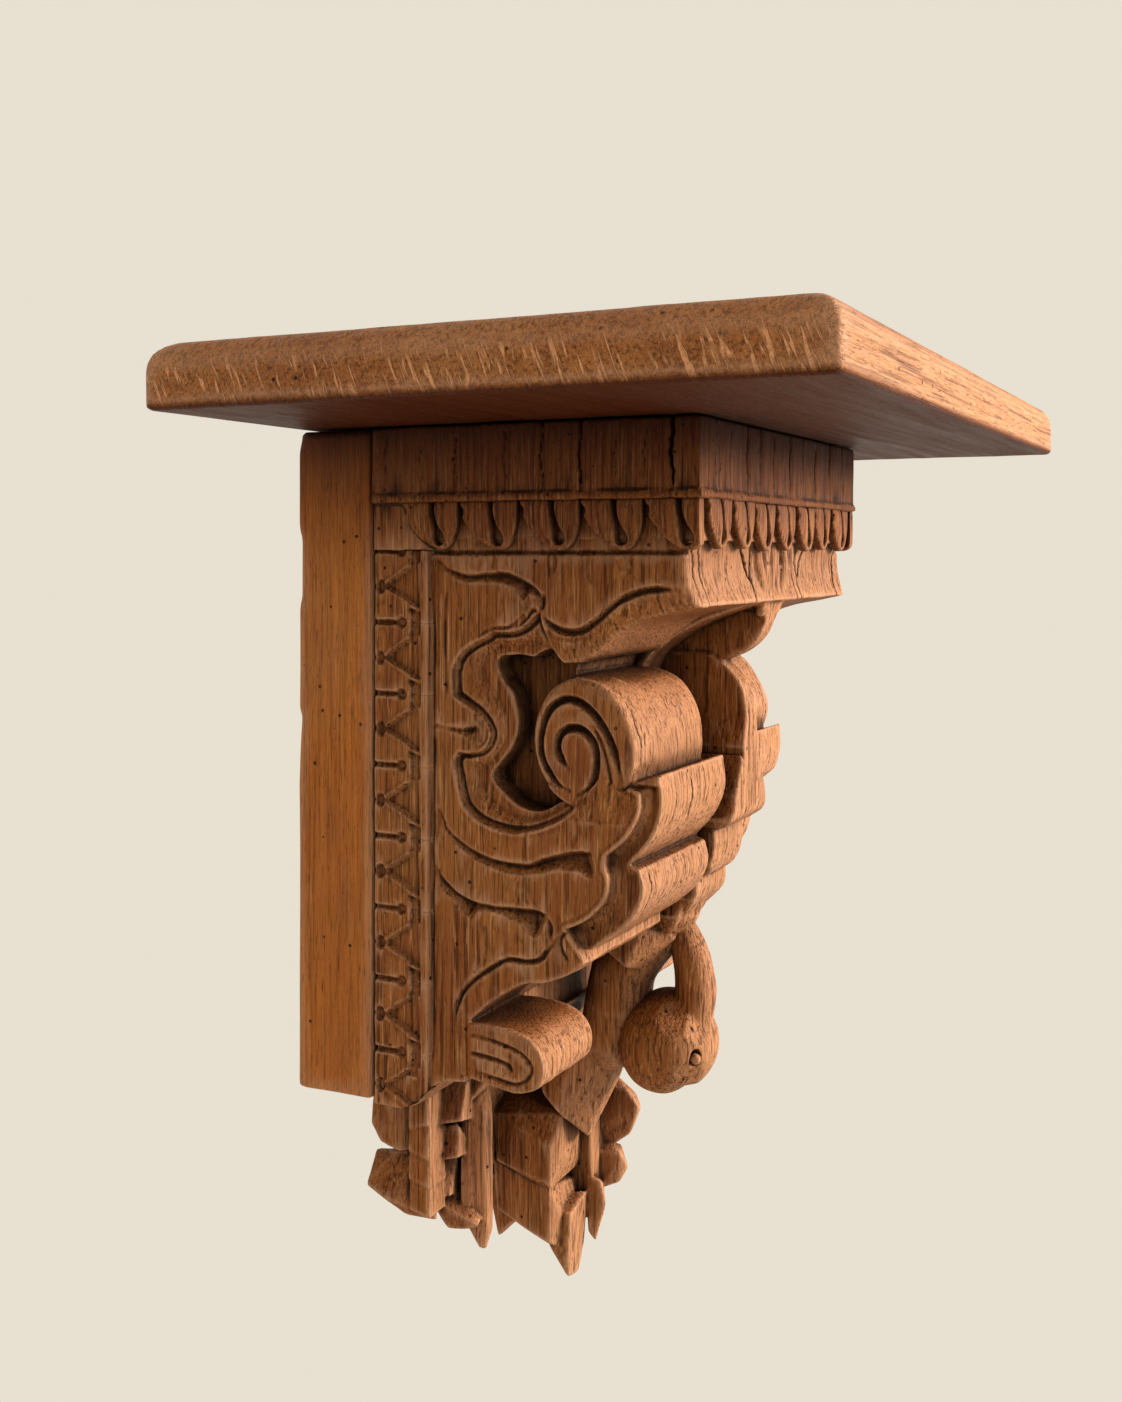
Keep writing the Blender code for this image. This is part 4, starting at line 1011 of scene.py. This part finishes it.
def cheek_block(cell):
    """One half of the carved block, from the keel to the side face."""
    block = Block((BARREL_END - 3, SHEET_BACK - 3, 40), (FIELD_FACE + 3, 181, 280), cell)
    outs, drops, across = block.outs, block.drops, block.across
    body = outline_field(outs, drops, LIP + GAP_BACK + BARREL + LEAVES + LOWER_LIP + FOOT)
    plate = outline_field(outs, drops, LIP + GAP_BACK + BARREL[:4] + PLATE_LEAVES + LOWER_LIP + FOOT)
    room = outline_field(outs, drops, VOLUTE_ROOM)

    # The leaves' ends are hollowed between the plate's edge and their fronts
    strip = np.clip(plate, 0, None) / np.maximum(np.clip(plate, 0, None) + np.clip(-body, 0, None), 0.3)
    slab = SLAB_FACE - 1.8 * np.sin(np.clip(strip, 0, 1) * math.pi) * (drops > 139)
    wood = round_max(body[None], across - slab[None], 1.2)
    crack = np.clip(1 - np.abs(across - SLAB_FACE + 2.6) / 0.8, 0, 1)
    barrel = (drops > 101) & (drops < 136) & (outs > 130)
    wood = wood + crack * barrel[None] * 1.4
    corner = 0.8 + 3.0 * np.clip((outs - 160) / 10, 0, 1) * (drops < 76)
    field = round_max(plate[None], across - side_face(block)[None], corner[None])
    field = np.maximum(field, -room[None])
    wood = smooth_min(wood, np.maximum(field, 88 - across), 1.0)
    pocket = outline_field(outs, drops, POCKET)
    floor = POCKET_FLOOR + 0.35 * np.sin(outs * 0.7 + np.sin(drops * 0.21)) * np.sin(drops * 0.13 + 1)
    wood = np.maximum(wood, -np.maximum(pocket[None], floor[None] - across))
    turns = np.zeros_like(pocket)
    for route, width, deepest in SPIRALS.values():
        turns = np.maximum(turns, line_depth(outs, drops, route, width, deepest))
    volute = outline_field(outs, drops, VOLUTE)
    eased = 1.6 * np.clip(1 + volute / 5, 0, 1) ** 2 * (drops < 141)
    disc = round_max(volute[None], across - (VOLUTE_FACE - np.maximum(turns, eased))[None], 1.2)
    wood = smooth_min(wood, np.maximum(disc, POCKET_FLOOR - 6 - across), 0.5)
    roll = outline_field(outs, drops, ROLL)
    lines = sum(line_depth(outs, drops, *LINES[name]) for name in ("roll_outer", "roll_inner", "roll_tip"))
    scroll = round_max(roll[None], across - (FIELD_FACE - lines)[None], 1.4)
    wood = smooth_min(wood, np.maximum(scroll, ROLL_END - across), 1.0)
    cut_cracks(block, wood, np.minimum(body, roll), FRONT_CRACKS)
    return block, np.maximum(wood, BARREL_END - across)


class BRACKET_OT_cheeks(bpy.types.Operator):
    """Carve the two sides of the block, with volute, ribbon, barrel, leaves and lower roll"""

    bl_idname = "bracket.cheeks"
    bl_label = "Carve the sides"

    def execute(self, context):
        sizes = context.scene.bracket_sizes
        block, wood = cheek_block(sizes.carving_cell)
        points, faces = surface(block, wood)
        left = carve("carved_side_left", points, faces, lambda spots: to_frame(spots, -1),
                     seed=11, budget=sizes.side_triangles, flip=True)
        right = carve("carved_side_right", points, faces, lambda spots: to_frame(set_back_right(spots)),
                      seed=31, budget=sizes.rest_triangles)
        for item in (left, right):
            finish_piece(item, carved_teak(), "carved_wood", "carved_corbel")
        return {"FINISHED"}


def keel_block(cell):
    """The keel in the middle with its nose, tongue and scales, and the trunk below it."""
    block = Block((-30, SHEET_BACK - 3, 42), (30, 181, 296), cell)
    outs, drops, across = block.outs, block.drops, np.abs(block.across)
    core = outline_field(outs, drops, KEEL_CORE)
    wood = np.maximum(core[None], across - BARREL_END - 1.5)
    for outline, halves in KEEL_PLATES.values():
        reach = np.interp(block.drop, *zip(*halves))
        plate = round_max(outline_field(outs, drops, outline)[None], across - reach, 1.6)
        wood = smooth_min(wood, plate, 0.4)
    join_route(block, wood, *TRUNK, 2.0)
    for side in (-1, 1):
        join_facets(block, wood, TRUNK_LEAF, side)
        for route, radii in STALKS:
            join_route(block, wood, tuple((side * spot[0], *spot[1:]) for spot in route), radii, 0.7)
    for place, width, top, foot in KEEL_CRACKS:
        gap = np.abs(block.across - place - 0.6 * np.sin(block.drop * 0.4 + place)) - width
        beyond = np.clip(np.abs(block.drop - (top + foot) / 2) - (foot - top) / 2, 0, None)
        wood = np.maximum(wood, -np.maximum(gap + beyond, -(wood + 1.6)))
    return block, wood


class BRACKET_OT_keel(bpy.types.Operator):
    """Carve the keel in the middle of the block and the trunk below it"""

    bl_idname = "bracket.keel"
    bl_label = "Carve the keel"

    def execute(self, context):
        sizes = context.scene.bracket_sizes
        block, wood = keel_block(sizes.carving_cell)
        points, faces = surface(block, wood)
        item = carve("carved_keel", points, faces, to_frame, seed=51, budget=sizes.rest_triangles)
        finish_piece(item, carved_teak(), "carved_wood", "carved_corbel")
        return {"FINISHED"}


class BRACKET_OT_bud(bpy.types.Operator):
    """Carve the hanging bud and the looped stem that carries it"""

    bl_idname = "bracket.bud"
    bl_label = "Carve the bud"

    def execute(self, context):
        block = Block((-26, 92, 200), (26, 154, 294), 0.5)
        bud = ball_field(block, BUD, BUD_RADII)
        for facing in BUD_FACETS:
            reach = sum((place - middle) * part for place, middle, part in
                        zip((block.across, block.out, block.drop), BUD, facing))
            bud = np.maximum(bud, reach - BUD_FACET_SHARE * BUD_RADII[0])
        wood = smooth_min(bud, ball_field(block, BUD_CUP, BUD_CUP_RADII), 0.3)
        pit = ball_field(block, BUD_KNOB, BUD_PIT_RADII)
        wood = smooth_min(np.maximum(wood, -pit), ball_field(block, BUD_KNOB, BUD_KNOB_RADII), 0.4)
        wood = smooth_min(wood, route_field(block, *STEM), 1.2)
        points, faces = surface(block, wood)
        item = carve("hanging_bud", points, faces, to_frame, seed=71, budget=BUD_TRIANGLES)
        finish_piece(item, carved_teak(), "carved_wood", "carved_corbel")
        return {"FINISHED"}


class BRACKET_OT_pendant(bpy.types.Operator):
    """Carve the cluster of blunt leaves and blades below the block"""

    bl_idname = "bracket.pendant"
    bl_label = "Carve the pendant"

    def execute(self, context):
        block = Block((-80, 10, 250), (80, 112, 385), 0.7)
        core = outline_field(block.outs, block.drops, PENDANT_CORE)
        wood = np.maximum(core[None], np.abs(block.across) - 54).astype(np.float32)
        for corners in MIDDLE_BLOCKS + RIGHT_BLOCKS:
            join_facets(block, wood, corners, 1)
        for corners in SIDE_BLOCKS:
            for side in (-1, 1):
                join_facets(block, wood, corners, side)
        behind = np.maximum(block.out - SHEET_BACK, block.drop - SHEET_FOOT - 0.6)
        wood = np.maximum(wood, -behind)
        points, faces = surface(block, wood)
        item = carve("leaf_pendant", points, faces, to_frame, seed=91,
                     budget=context.scene.bracket_sizes.rest_triangles)
        finish_piece(item, carved_teak(), "carved_wood", "carved_corbel")
        return {"FINISHED"}


class BRACKET_OT_band(bpy.types.Operator):
    """Carve the plain band with its bead and cracks, and the sunk ground of the fringe"""

    bl_idname = "bracket.band"
    bl_label = "Carve the band"

    def execute(self, context):
        block = Block((-109, SHEET_BACK - 3, -3), (109, 184, 50), 0.7)
        across, out, drop = np.abs(block.across), block.out, block.drop
        band = round_max(np.maximum(across - SHEET_HALF, out - SHEET_FRONT), drop - BAND_FOOT - 1, 0.8)
        bead = np.abs(np.maximum(drop - 29.3, 29.1 - drop)) - 1.3
        bead = np.maximum(bead, np.maximum(across - SHEET_HALF - 0.9, out - SHEET_FRONT - 0.9))
        ground = np.maximum(across - FIELD_FACE + 1.6, out - SHEET_FRONT + 3.8)
        ground = np.maximum(ground, drop - FRINGE_GROUND)
        plain = outline_field(block.outs, block.drops, PLAIN_CORNER)
        plain = round_max(plain[None], across - FIELD_FACE - 1.8, 0.8)
        wood = np.minimum(np.minimum(np.minimum(band, bead), ground), plain)
        wood = np.maximum(wood, np.maximum(SHEET_BACK - out, -drop))
        sway = 0.5 * np.sin(drop * 0.35) + 0.25 * np.sin(drop * 1.3)
        for cracks, run, inside in ((BAND_SIDE_CRACKS, out, SHEET_HALF - 3.5 - across),
                                    (BAND_FRONT_CRACKS, block.across, SHEET_FRONT - 3.5 - out)):
            for place, width, top, foot in cracks:
                gap = np.abs(run - place - sway) - width * np.clip((foot - drop) / 8, 0.2, 1)
                gap = np.maximum(np.maximum(gap, top - drop), np.maximum(drop - foot, inside))
                wood = np.maximum(wood, -gap)
        points, faces = surface(block, wood)
        item = carve("carved_band", points, faces, to_frame, seed=111, budget=BAND_TRIANGLES)
        finish_piece(item, carved_teak(), "carved_wood", "carved_corbel")
        return {"FINISHED"}


def repeat_tree(name):
    """Repeats a leaf along a line, each copy moved a little by chance, and realizes the copies."""
    tree = bpy.data.node_groups.new(name, "GeometryNodeTree")
    for label, kind in (("Leaf", "Geometry"), ("Count", "Int"), ("Step", "Vector"), ("Sway", "Vector"),
                        ("Seed", "Int"), ("Wood", "Material")):
        tree.interface.new_socket(name=label, in_out="INPUT", socket_type="NodeSocket" + kind)
    tree.interface.new_socket(name="Leaves", in_out="OUTPUT", socket_type="NodeSocketGeometry")
    given = add_node(tree, "NodeGroupInput").outputs
    line = add_node(tree, "GeometryNodeMeshLine", {"mode": "OFFSET"},
                    {"Count": given["Count"], "Offset": given["Step"]}).outputs["Mesh"]
    back = add_node(tree, "ShaderNodeVectorMath", {"operation": "SCALE"},
                    {0: given["Sway"], "Scale": -1.0}).outputs["Vector"]
    chance = add_node(tree, "FunctionNodeRandomValue", {"data_type": "FLOAT_VECTOR"},
                      {0: back, 1: given["Sway"], "Seed": given["Seed"]}).outputs[0]
    leaves = add_node(tree, "GeometryNodeInstanceOnPoints", None,
                      {"Points": line, "Instance": given["Leaf"]}).outputs["Instances"]
    moved = add_node(tree, "GeometryNodeTranslateInstances", None,
                     {"Instances": leaves, "Translation": chance}).outputs["Instances"]
    real = add_node(tree, "GeometryNodeRealizeInstances", None, {"Geometry": moved}).outputs["Geometry"]
    wood = add_node(tree, "GeometryNodeSetMaterial", None,
                    {"Geometry": real, "Material": given["Wood"]}).outputs["Geometry"]
    add_node(tree, "NodeGroupOutput", None, {"Leaves": wood})
    return tree


def repeat_leaf(name, mesh, count, step, sway, seed):
    """The leaf repeated by Geometry Nodes, as arrays of points on the sheet and faces of four."""
    tree = bpy.data.node_groups.get("repeated_leaves") or repeat_tree("repeated_leaves")
    item = show(name, mesh)
    modifier = item.modifiers.new("Repeat", "NODES")
    modifier.node_group = tree
    values = {"Count": count, "Step": step, "Sway": sway, "Seed": seed, "Wood": carved_teak()}
    for socket in tree.interface.items_tree:
        if socket.in_out == "INPUT" and socket.name in values:
            modifier[socket.identifier] = values[socket.name]
    made = settled_mesh(item)
    points = vertex_places(made)
    corners = np.empty(len(made.loops), np.int32)
    made.loops.foreach_get("vertex_index", corners)
    bpy.data.objects.remove(item, do_unlink=True)
    return points, corners.reshape(-1, 4)


def petal(outline, slit, hole, pitch, length):
    """One hanging leaf of the fringe, with a slit that ends in a drop, and a hole beside its shoulder."""
    block = Block((-3, -4, -2), (6, pitch + 4, length + 3), 0.5)
    along, drop = block.outs, block.drops
    edge = outline_field(along, drop, outline)
    near, way = run_distance(along, drop, smooth_line(slit[0], closed=False))
    gap = near - 0.35 - slit[1] * np.clip((way - 0.45) / 0.45, 0, 1) ** 1.5
    swell = np.clip(-edge / 4.5, 0, 1)
    face = 4.4 + 0.9 * np.sqrt(swell) - 0.8 * np.clip(drop / length, 0, 1) ** 2
    face = face - np.clip(1 - np.clip(gap, 0, None) / 0.7, 0, 1) * 4.2
    pit = np.sqrt((along - hole[0]) ** 2 + (drop - hole[1]) ** 2) - hole[2]
    face = face - np.clip(1 - np.clip(pit, 0, None) / 0.8, 0, 1) * 3.6
    wood = round_max(edge[None], block.across - face[None], 0.7)
    return surface(block, np.maximum(wood, -block.across))


class BRACKET_OT_fringe(bpy.types.Operator):
    """Carve the fringe of hanging leaves under the band, along both sides and the front"""

    bl_idname = "bracket.fringe"
    bl_label = "Carve the fringe"

    def execute(self, context):
        sheets, face_sets, offset = [], [], 0
        points, faces = petal(LEAF_OUTLINE, LEAF_SLIT, LEAF_HOLE, SIDE_PITCH, LEAF_LENGTH)
        sheet = np.stack([points[:, 0] + FIELD_FACE - 2.4, points[:, 1] + SIDE_FIRST,
                          points[:, 2] + BEAD_FOOT - 0.6], 1)
        leaf = build_mesh("side_leaf", sheet, faces)
        step = (0, SIDE_PITCH, 0)
        side, side_faces = repeat_leaf("side_leaves", leaf, SIDE_COUNT + 1, step, (0, 0.5, 0.2), 3)
        side[:, 1] = np.minimum(side[:, 1], SHEET_FRONT - 0.6)
        for sign in (-1, 1):
            spots = side.copy()
            spots[:, 0] *= sign
            sheets.append(spots)
            face_sets.append((side_faces[:, ::-1] if sign < 0 else side_faces) + offset)
            offset += len(spots)
        points, faces = petal(LEAF_OUTLINE, LEAF_SLIT, LEAF_HOLE, FRONT_PITCH, LEAF_LENGTH - 0.3)
        sheet = np.stack([points[:, 1] - FRONT_PITCH * FRONT_COUNT / 2, points[:, 0] + SHEET_FRONT - 5.0,
                          points[:, 2] + BEAD_FOOT - 0.6], 1)
        leaf = build_mesh("front_leaf", sheet, faces[:, ::-1])
        step = (FRONT_PITCH, 0, 0)
        front, front_faces = repeat_leaf("front_leaves", leaf, FRONT_COUNT, step, (0.8, 0.3, 0.4), 5)
        sheets.append(front)
        face_sets.append(front_faces + offset)
        item = carve("leaf_fringe", np.concatenate(sheets), np.concatenate(face_sets), to_frame,
                     seed=131, budget=FRINGE_TRIANGLES)
        finish_piece(item, carved_teak(), "carved_wood", "carved_corbel")
        return {"FINISHED"}


def border_tile():
    """The border's repeat: a hole from which two ridges spread, and half a slit leaf above and below it."""
    half = BORDER_PITCH / 2
    block = Block((-3, SHEET_BACK - 2, -half - 2), (8, 66, half + 2), 0.5)
    outs, level = block.outs, block.drops
    face = np.full(np.broadcast(outs, level).shape, 5.2, np.float32)
    ground = outline_field(outs, level, BORDER_GROUND)
    face = face - 2.6 * np.clip(-ground / 1.6, 0, 1)
    face = face + 0.7 * np.clip(1 - np.abs(ground - 0.7) / 0.8, 0, 1)
    corner = outline_field(outs, np.abs(level), BORDER_CORNER)
    face = face - 2.2 * np.clip(-corner, 0, 1)
    hole = np.sqrt((outs - 40.6) ** 2 + (level * 0.8) ** 2)
    face = face - np.clip(2.3 - hole, 0, 1) * 4.6
    star = np.sqrt((outs - 50.6) ** 2 + (np.abs(level) - half) ** 2)
    face = face - np.clip(2.3 - star, 0, 1) * 3.6
    slit = np.maximum(np.abs(np.abs(level) - half) - 0.3, outs - 50)
    face = face - np.clip(0.8 - slit, 0, 1) * 3.0
    ridge = np.clip(1 - np.abs(outs - 61.6) / 2.6, 0, 1)
    face = np.maximum(face, 3.4 + 2.6 * np.clip(ridge * 2.4, 0, 1))
    face = np.where(outs > 63.6, 3.1, face)
    wood = np.maximum(np.maximum(SHEET_BACK + 0.8 - outs, outs - 64.4)[None], block.across - face[None])
    return block, np.maximum(wood, -block.across)


class BRACKET_OT_border(bpy.types.Operator):
    """Carve the border of leaves along the back board"""

    bl_idname = "bracket.border"
    bl_label = "Carve the border"

    def execute(self, context):
        block, wood = border_tile()
        closed = np.maximum(wood, np.abs(block.drop) - BORDER_PITCH / 2 - 0.3)
        points, faces = surface(block, closed)
        sheet = np.stack([points[:, 0] + FIELD_FACE - 3.4, points[:, 1], points[:, 2] + BORDER_FIRST], 1)
        leaf = build_mesh("border_leaf", sheet, faces)
        step = (0, 0, BORDER_PITCH)
        made, made_faces = repeat_leaf("border_leaves", leaf, BORDER_COUNT, step, (0, 0, 0), 7)
        foot = np.interp(made[:, 1], *zip(*BORDER_FOOT))
        made[:, 2] = np.minimum(made[:, 2], foot - 0.02 * (made[:, 2] - foot))
        mirrored = made * (-1, 1, 1)
        both = np.concatenate([mirrored, made])
        both_faces = np.concatenate([made_faces[:, ::-1], made_faces + len(made)])
        item = carve("leaf_border", both, both_faces, to_frame, seed=151, budget=BORDER_TRIANGLES)
        finish_piece(item, carved_teak(), "carved_wood", "carved_corbel")
        return {"FINISHED"}


def board_piece(name, low, high, cell, radii, waves, budget, chips=((0, 0),)):
    """A plain board as a softly rounded block, worn everywhere and chipped along its rear left edge."""
    low, high = np.array(low) / MM, np.array(high) / MM
    block = Block(low - 3, high + 3, cell)
    top, foot, corner = radii
    flat = np.maximum(low[0] - block.across, block.across - high[0])
    deep = np.maximum(low[1] - block.out, block.out - high[1])
    rim = round_max(flat, deep, corner)
    wood = round_max(round_max(rim, block.drop - high[2], top), low[2] - block.drop, foot)
    chipped = np.interp(block.drop, *zip(*chips))
    wood = np.maximum(wood, (chipped - (block.across - low[0]) - (high[1] - block.out)) * 0.7)
    points, faces = surface(block, wood)
    worn = value_noise(points, waves, 7) * 0.7 + value_noise(points, np.array(waves) / 4, 8) * 0.3
    mesh = build_mesh(name, points, faces)
    points = points - vertex_normals(mesh) * (worn * 0.5)[:, None]
    bpy.data.meshes.remove(mesh)
    item = show(name, build_mesh(name, points * MM, faces))
    thin_out(item, budget)
    return item


class BRACKET_OT_shelf(bpy.types.Operator):
    """Make the shelf board with its worn round edges"""

    bl_idname = "bracket.shelf"
    bl_label = "Make the shelf board"

    def execute(self, context):
        colours = context.scene.bracket_colours
        item = board_piece("worn_shelf_board", SHELF_LOW, SHELF_HIGH, context.scene.bracket_sizes.board_cell,
                           SHELF_EDGES, SHELF_HOLLOWS, SHELF_TRIANGLES)
        places, normals = vertex_places(item.data), vertex_normals(item.data)
        low = np.clip((SHELF_HIGH[2] - places[:, 2]) / (8 * MM) - 0.7, 0, 1)
        sawn = np.clip(np.abs(normals[:, 0]) * 2 - 1, 0, 1) * low
        item.data.attributes.new("sawn", "FLOAT", "POINT").data.foreach_set("value", sawn.astype(np.float32))
        teak = wood_material("teak_planed_worn", colours.shelf_mid, colours.shelf_light, 0, SHELF_HEART,
                             0.5, 0.8, sawn=True)
        finish_piece(item, teak, "shelf_wood", "shelf_board")
        return {"FINISHED"}


class BRACKET_OT_back_board(bpy.types.Operator):
    """Make the back board with its chipped rear edge"""

    bl_idname = "bracket.back_board"
    bl_label = "Make the back board"

    def execute(self, context):
        colours = context.scene.bracket_colours
        item = board_piece("worn_back_board", BOARD_LOW, BOARD_HIGH, context.scene.bracket_sizes.board_cell,
                           BOARD_EDGES, BOARD_HOLLOWS, BOARD_TRIANGLES, BOARD_CHIPS)
        teak = wood_material("teak_planed_smooth", colours.board_mid, colours.board_light, 2, BOARD_HEART,
                             0.5, 0.4)
        finish_piece(item, teak, "board_wood", "back_board")
        return {"FINISHED"}


def add_area_light(name, place, aim, size, power, colour):
    """Adds a round soft light that faces its aim."""
    light = bpy.data.lights.new(name, "AREA")
    light.shape = "DISK"
    light.size = size
    light.energy = power
    light.color = hex_colour(colour)[:3]
    item = bpy.data.objects.new(name, light)
    item.location = place
    item.rotation_euler = (Vector(aim) - Vector(place)).to_track_quat("-Z", "Y").to_euler()
    bpy.context.scene.collection.objects.link(item)


class BRACKET_OT_stage(bpy.types.Operator):
    """Set the pale floor, the soft studio light and the photograph's camera"""

    bl_idname = "bracket.stage"
    bl_label = "Set the stage"

    def execute(self, context):
        scene = context.scene
        pale = scene.bracket_colours.backdrop
        camera = bpy.data.cameras.new("photo_camera")
        camera.sensor_fit = "VERTICAL"
        camera.sensor_height = SENSOR
        camera.lens = FOCAL_PIXELS / PHOTO_HEIGHT * SENSOR
        camera.shift_y = -HORIZON_DROP / PHOTO_HEIGHT
        camera.clip_start = 0.01
        item = bpy.data.objects.new("photo_camera", camera)
        item.location = CAMERA_PLACE
        item.rotation_euler = (math.pi / 2, 0, CAMERA_TURN)
        scene.collection.objects.link(item)
        scene.camera = item

        shape = bmesh.new()
        bmesh.ops.create_circle(shape, cap_ends=True, segments=96, radius=FLOOR_RADIUS)
        bmesh.ops.translate(shape, verts=shape.verts, vec=(0, 0, FLOOR_LEVEL))
        mesh = bpy.data.meshes.new("studio_floor")
        shape.to_mesh(mesh)
        shape.free()
        floor = show("studio_floor", mesh)
        paint = bpy.data.materials.new("matt_wall_paint")
        paint.use_nodes = True
        shader = paint.node_tree.nodes["Principled BSDF"]
        shader.inputs["Base Color"].default_value = pale
        shader.inputs["Roughness"].default_value = 0.9
        mesh.materials.append(paint)

        world = bpy.data.worlds.new("pale_studio")
        world.use_nodes = True
        backdrop = world.node_tree.nodes["Background"]
        backdrop.inputs["Color"].default_value = pale
        backdrop.inputs["Strength"].default_value = 1.0
        scene.world = world
        scene.view_settings.view_transform = "Standard"
        add_area_light("window_light", LIGHT_PLACE, LIGHT_AIM, LIGHT_WIDTH, LIGHT_POWER, LIGHT_COLOUR)
        return {"FINISHED"}


STEPS = (BRACKET_OT_stage, BRACKET_OT_shelf, BRACKET_OT_back_board, BRACKET_OT_band, BRACKET_OT_fringe,
         BRACKET_OT_border, BRACKET_OT_cheeks, BRACKET_OT_keel, BRACKET_OT_bud, BRACKET_OT_pendant)


class BRACKET_PT_sidebar(bpy.types.Panel):
    """The bracket's pieces, sizes and colours"""

    bl_idname = "BRACKET_PT_sidebar"
    bl_label = "Carved wall bracket"
    bl_space_type = "VIEW_3D"
    bl_region_type = "UI"
    bl_category = "Bracket"

    def draw(self, context):
        """Lists the sizes, the colours and a button for each step."""
        for group in (context.scene.bracket_sizes, context.scene.bracket_colours):
            for name in group.__annotations__:
                self.layout.prop(group, name)
        for step in STEPS:
            self.layout.operator(step.bl_idname)


def register():
    """Makes the sizes, colours, operators and sidebar known to Blender."""
    for kind in (BracketSizes, BracketColours, *STEPS, BRACKET_PT_sidebar):
        bpy.utils.register_class(kind)
    bpy.types.Scene.bracket_sizes = bpy.props.PointerProperty(type=BracketSizes)
    bpy.types.Scene.bracket_colours = bpy.props.PointerProperty(type=BracketColours)


def unregister():
    """Takes them away again, last first."""
    del bpy.types.Scene.bracket_colours
    del bpy.types.Scene.bracket_sizes
    for kind in (BRACKET_PT_sidebar, *reversed(STEPS), BracketColours, BracketSizes):
        bpy.utils.unregister_class(kind)


def main():
    """Makes every piece in turn."""
    register()
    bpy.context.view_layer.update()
    for step in STEPS:
        family, name = step.bl_idname.split(".")
        getattr(getattr(bpy.ops, family), name)()


if __name__ == "__main__":
    main()
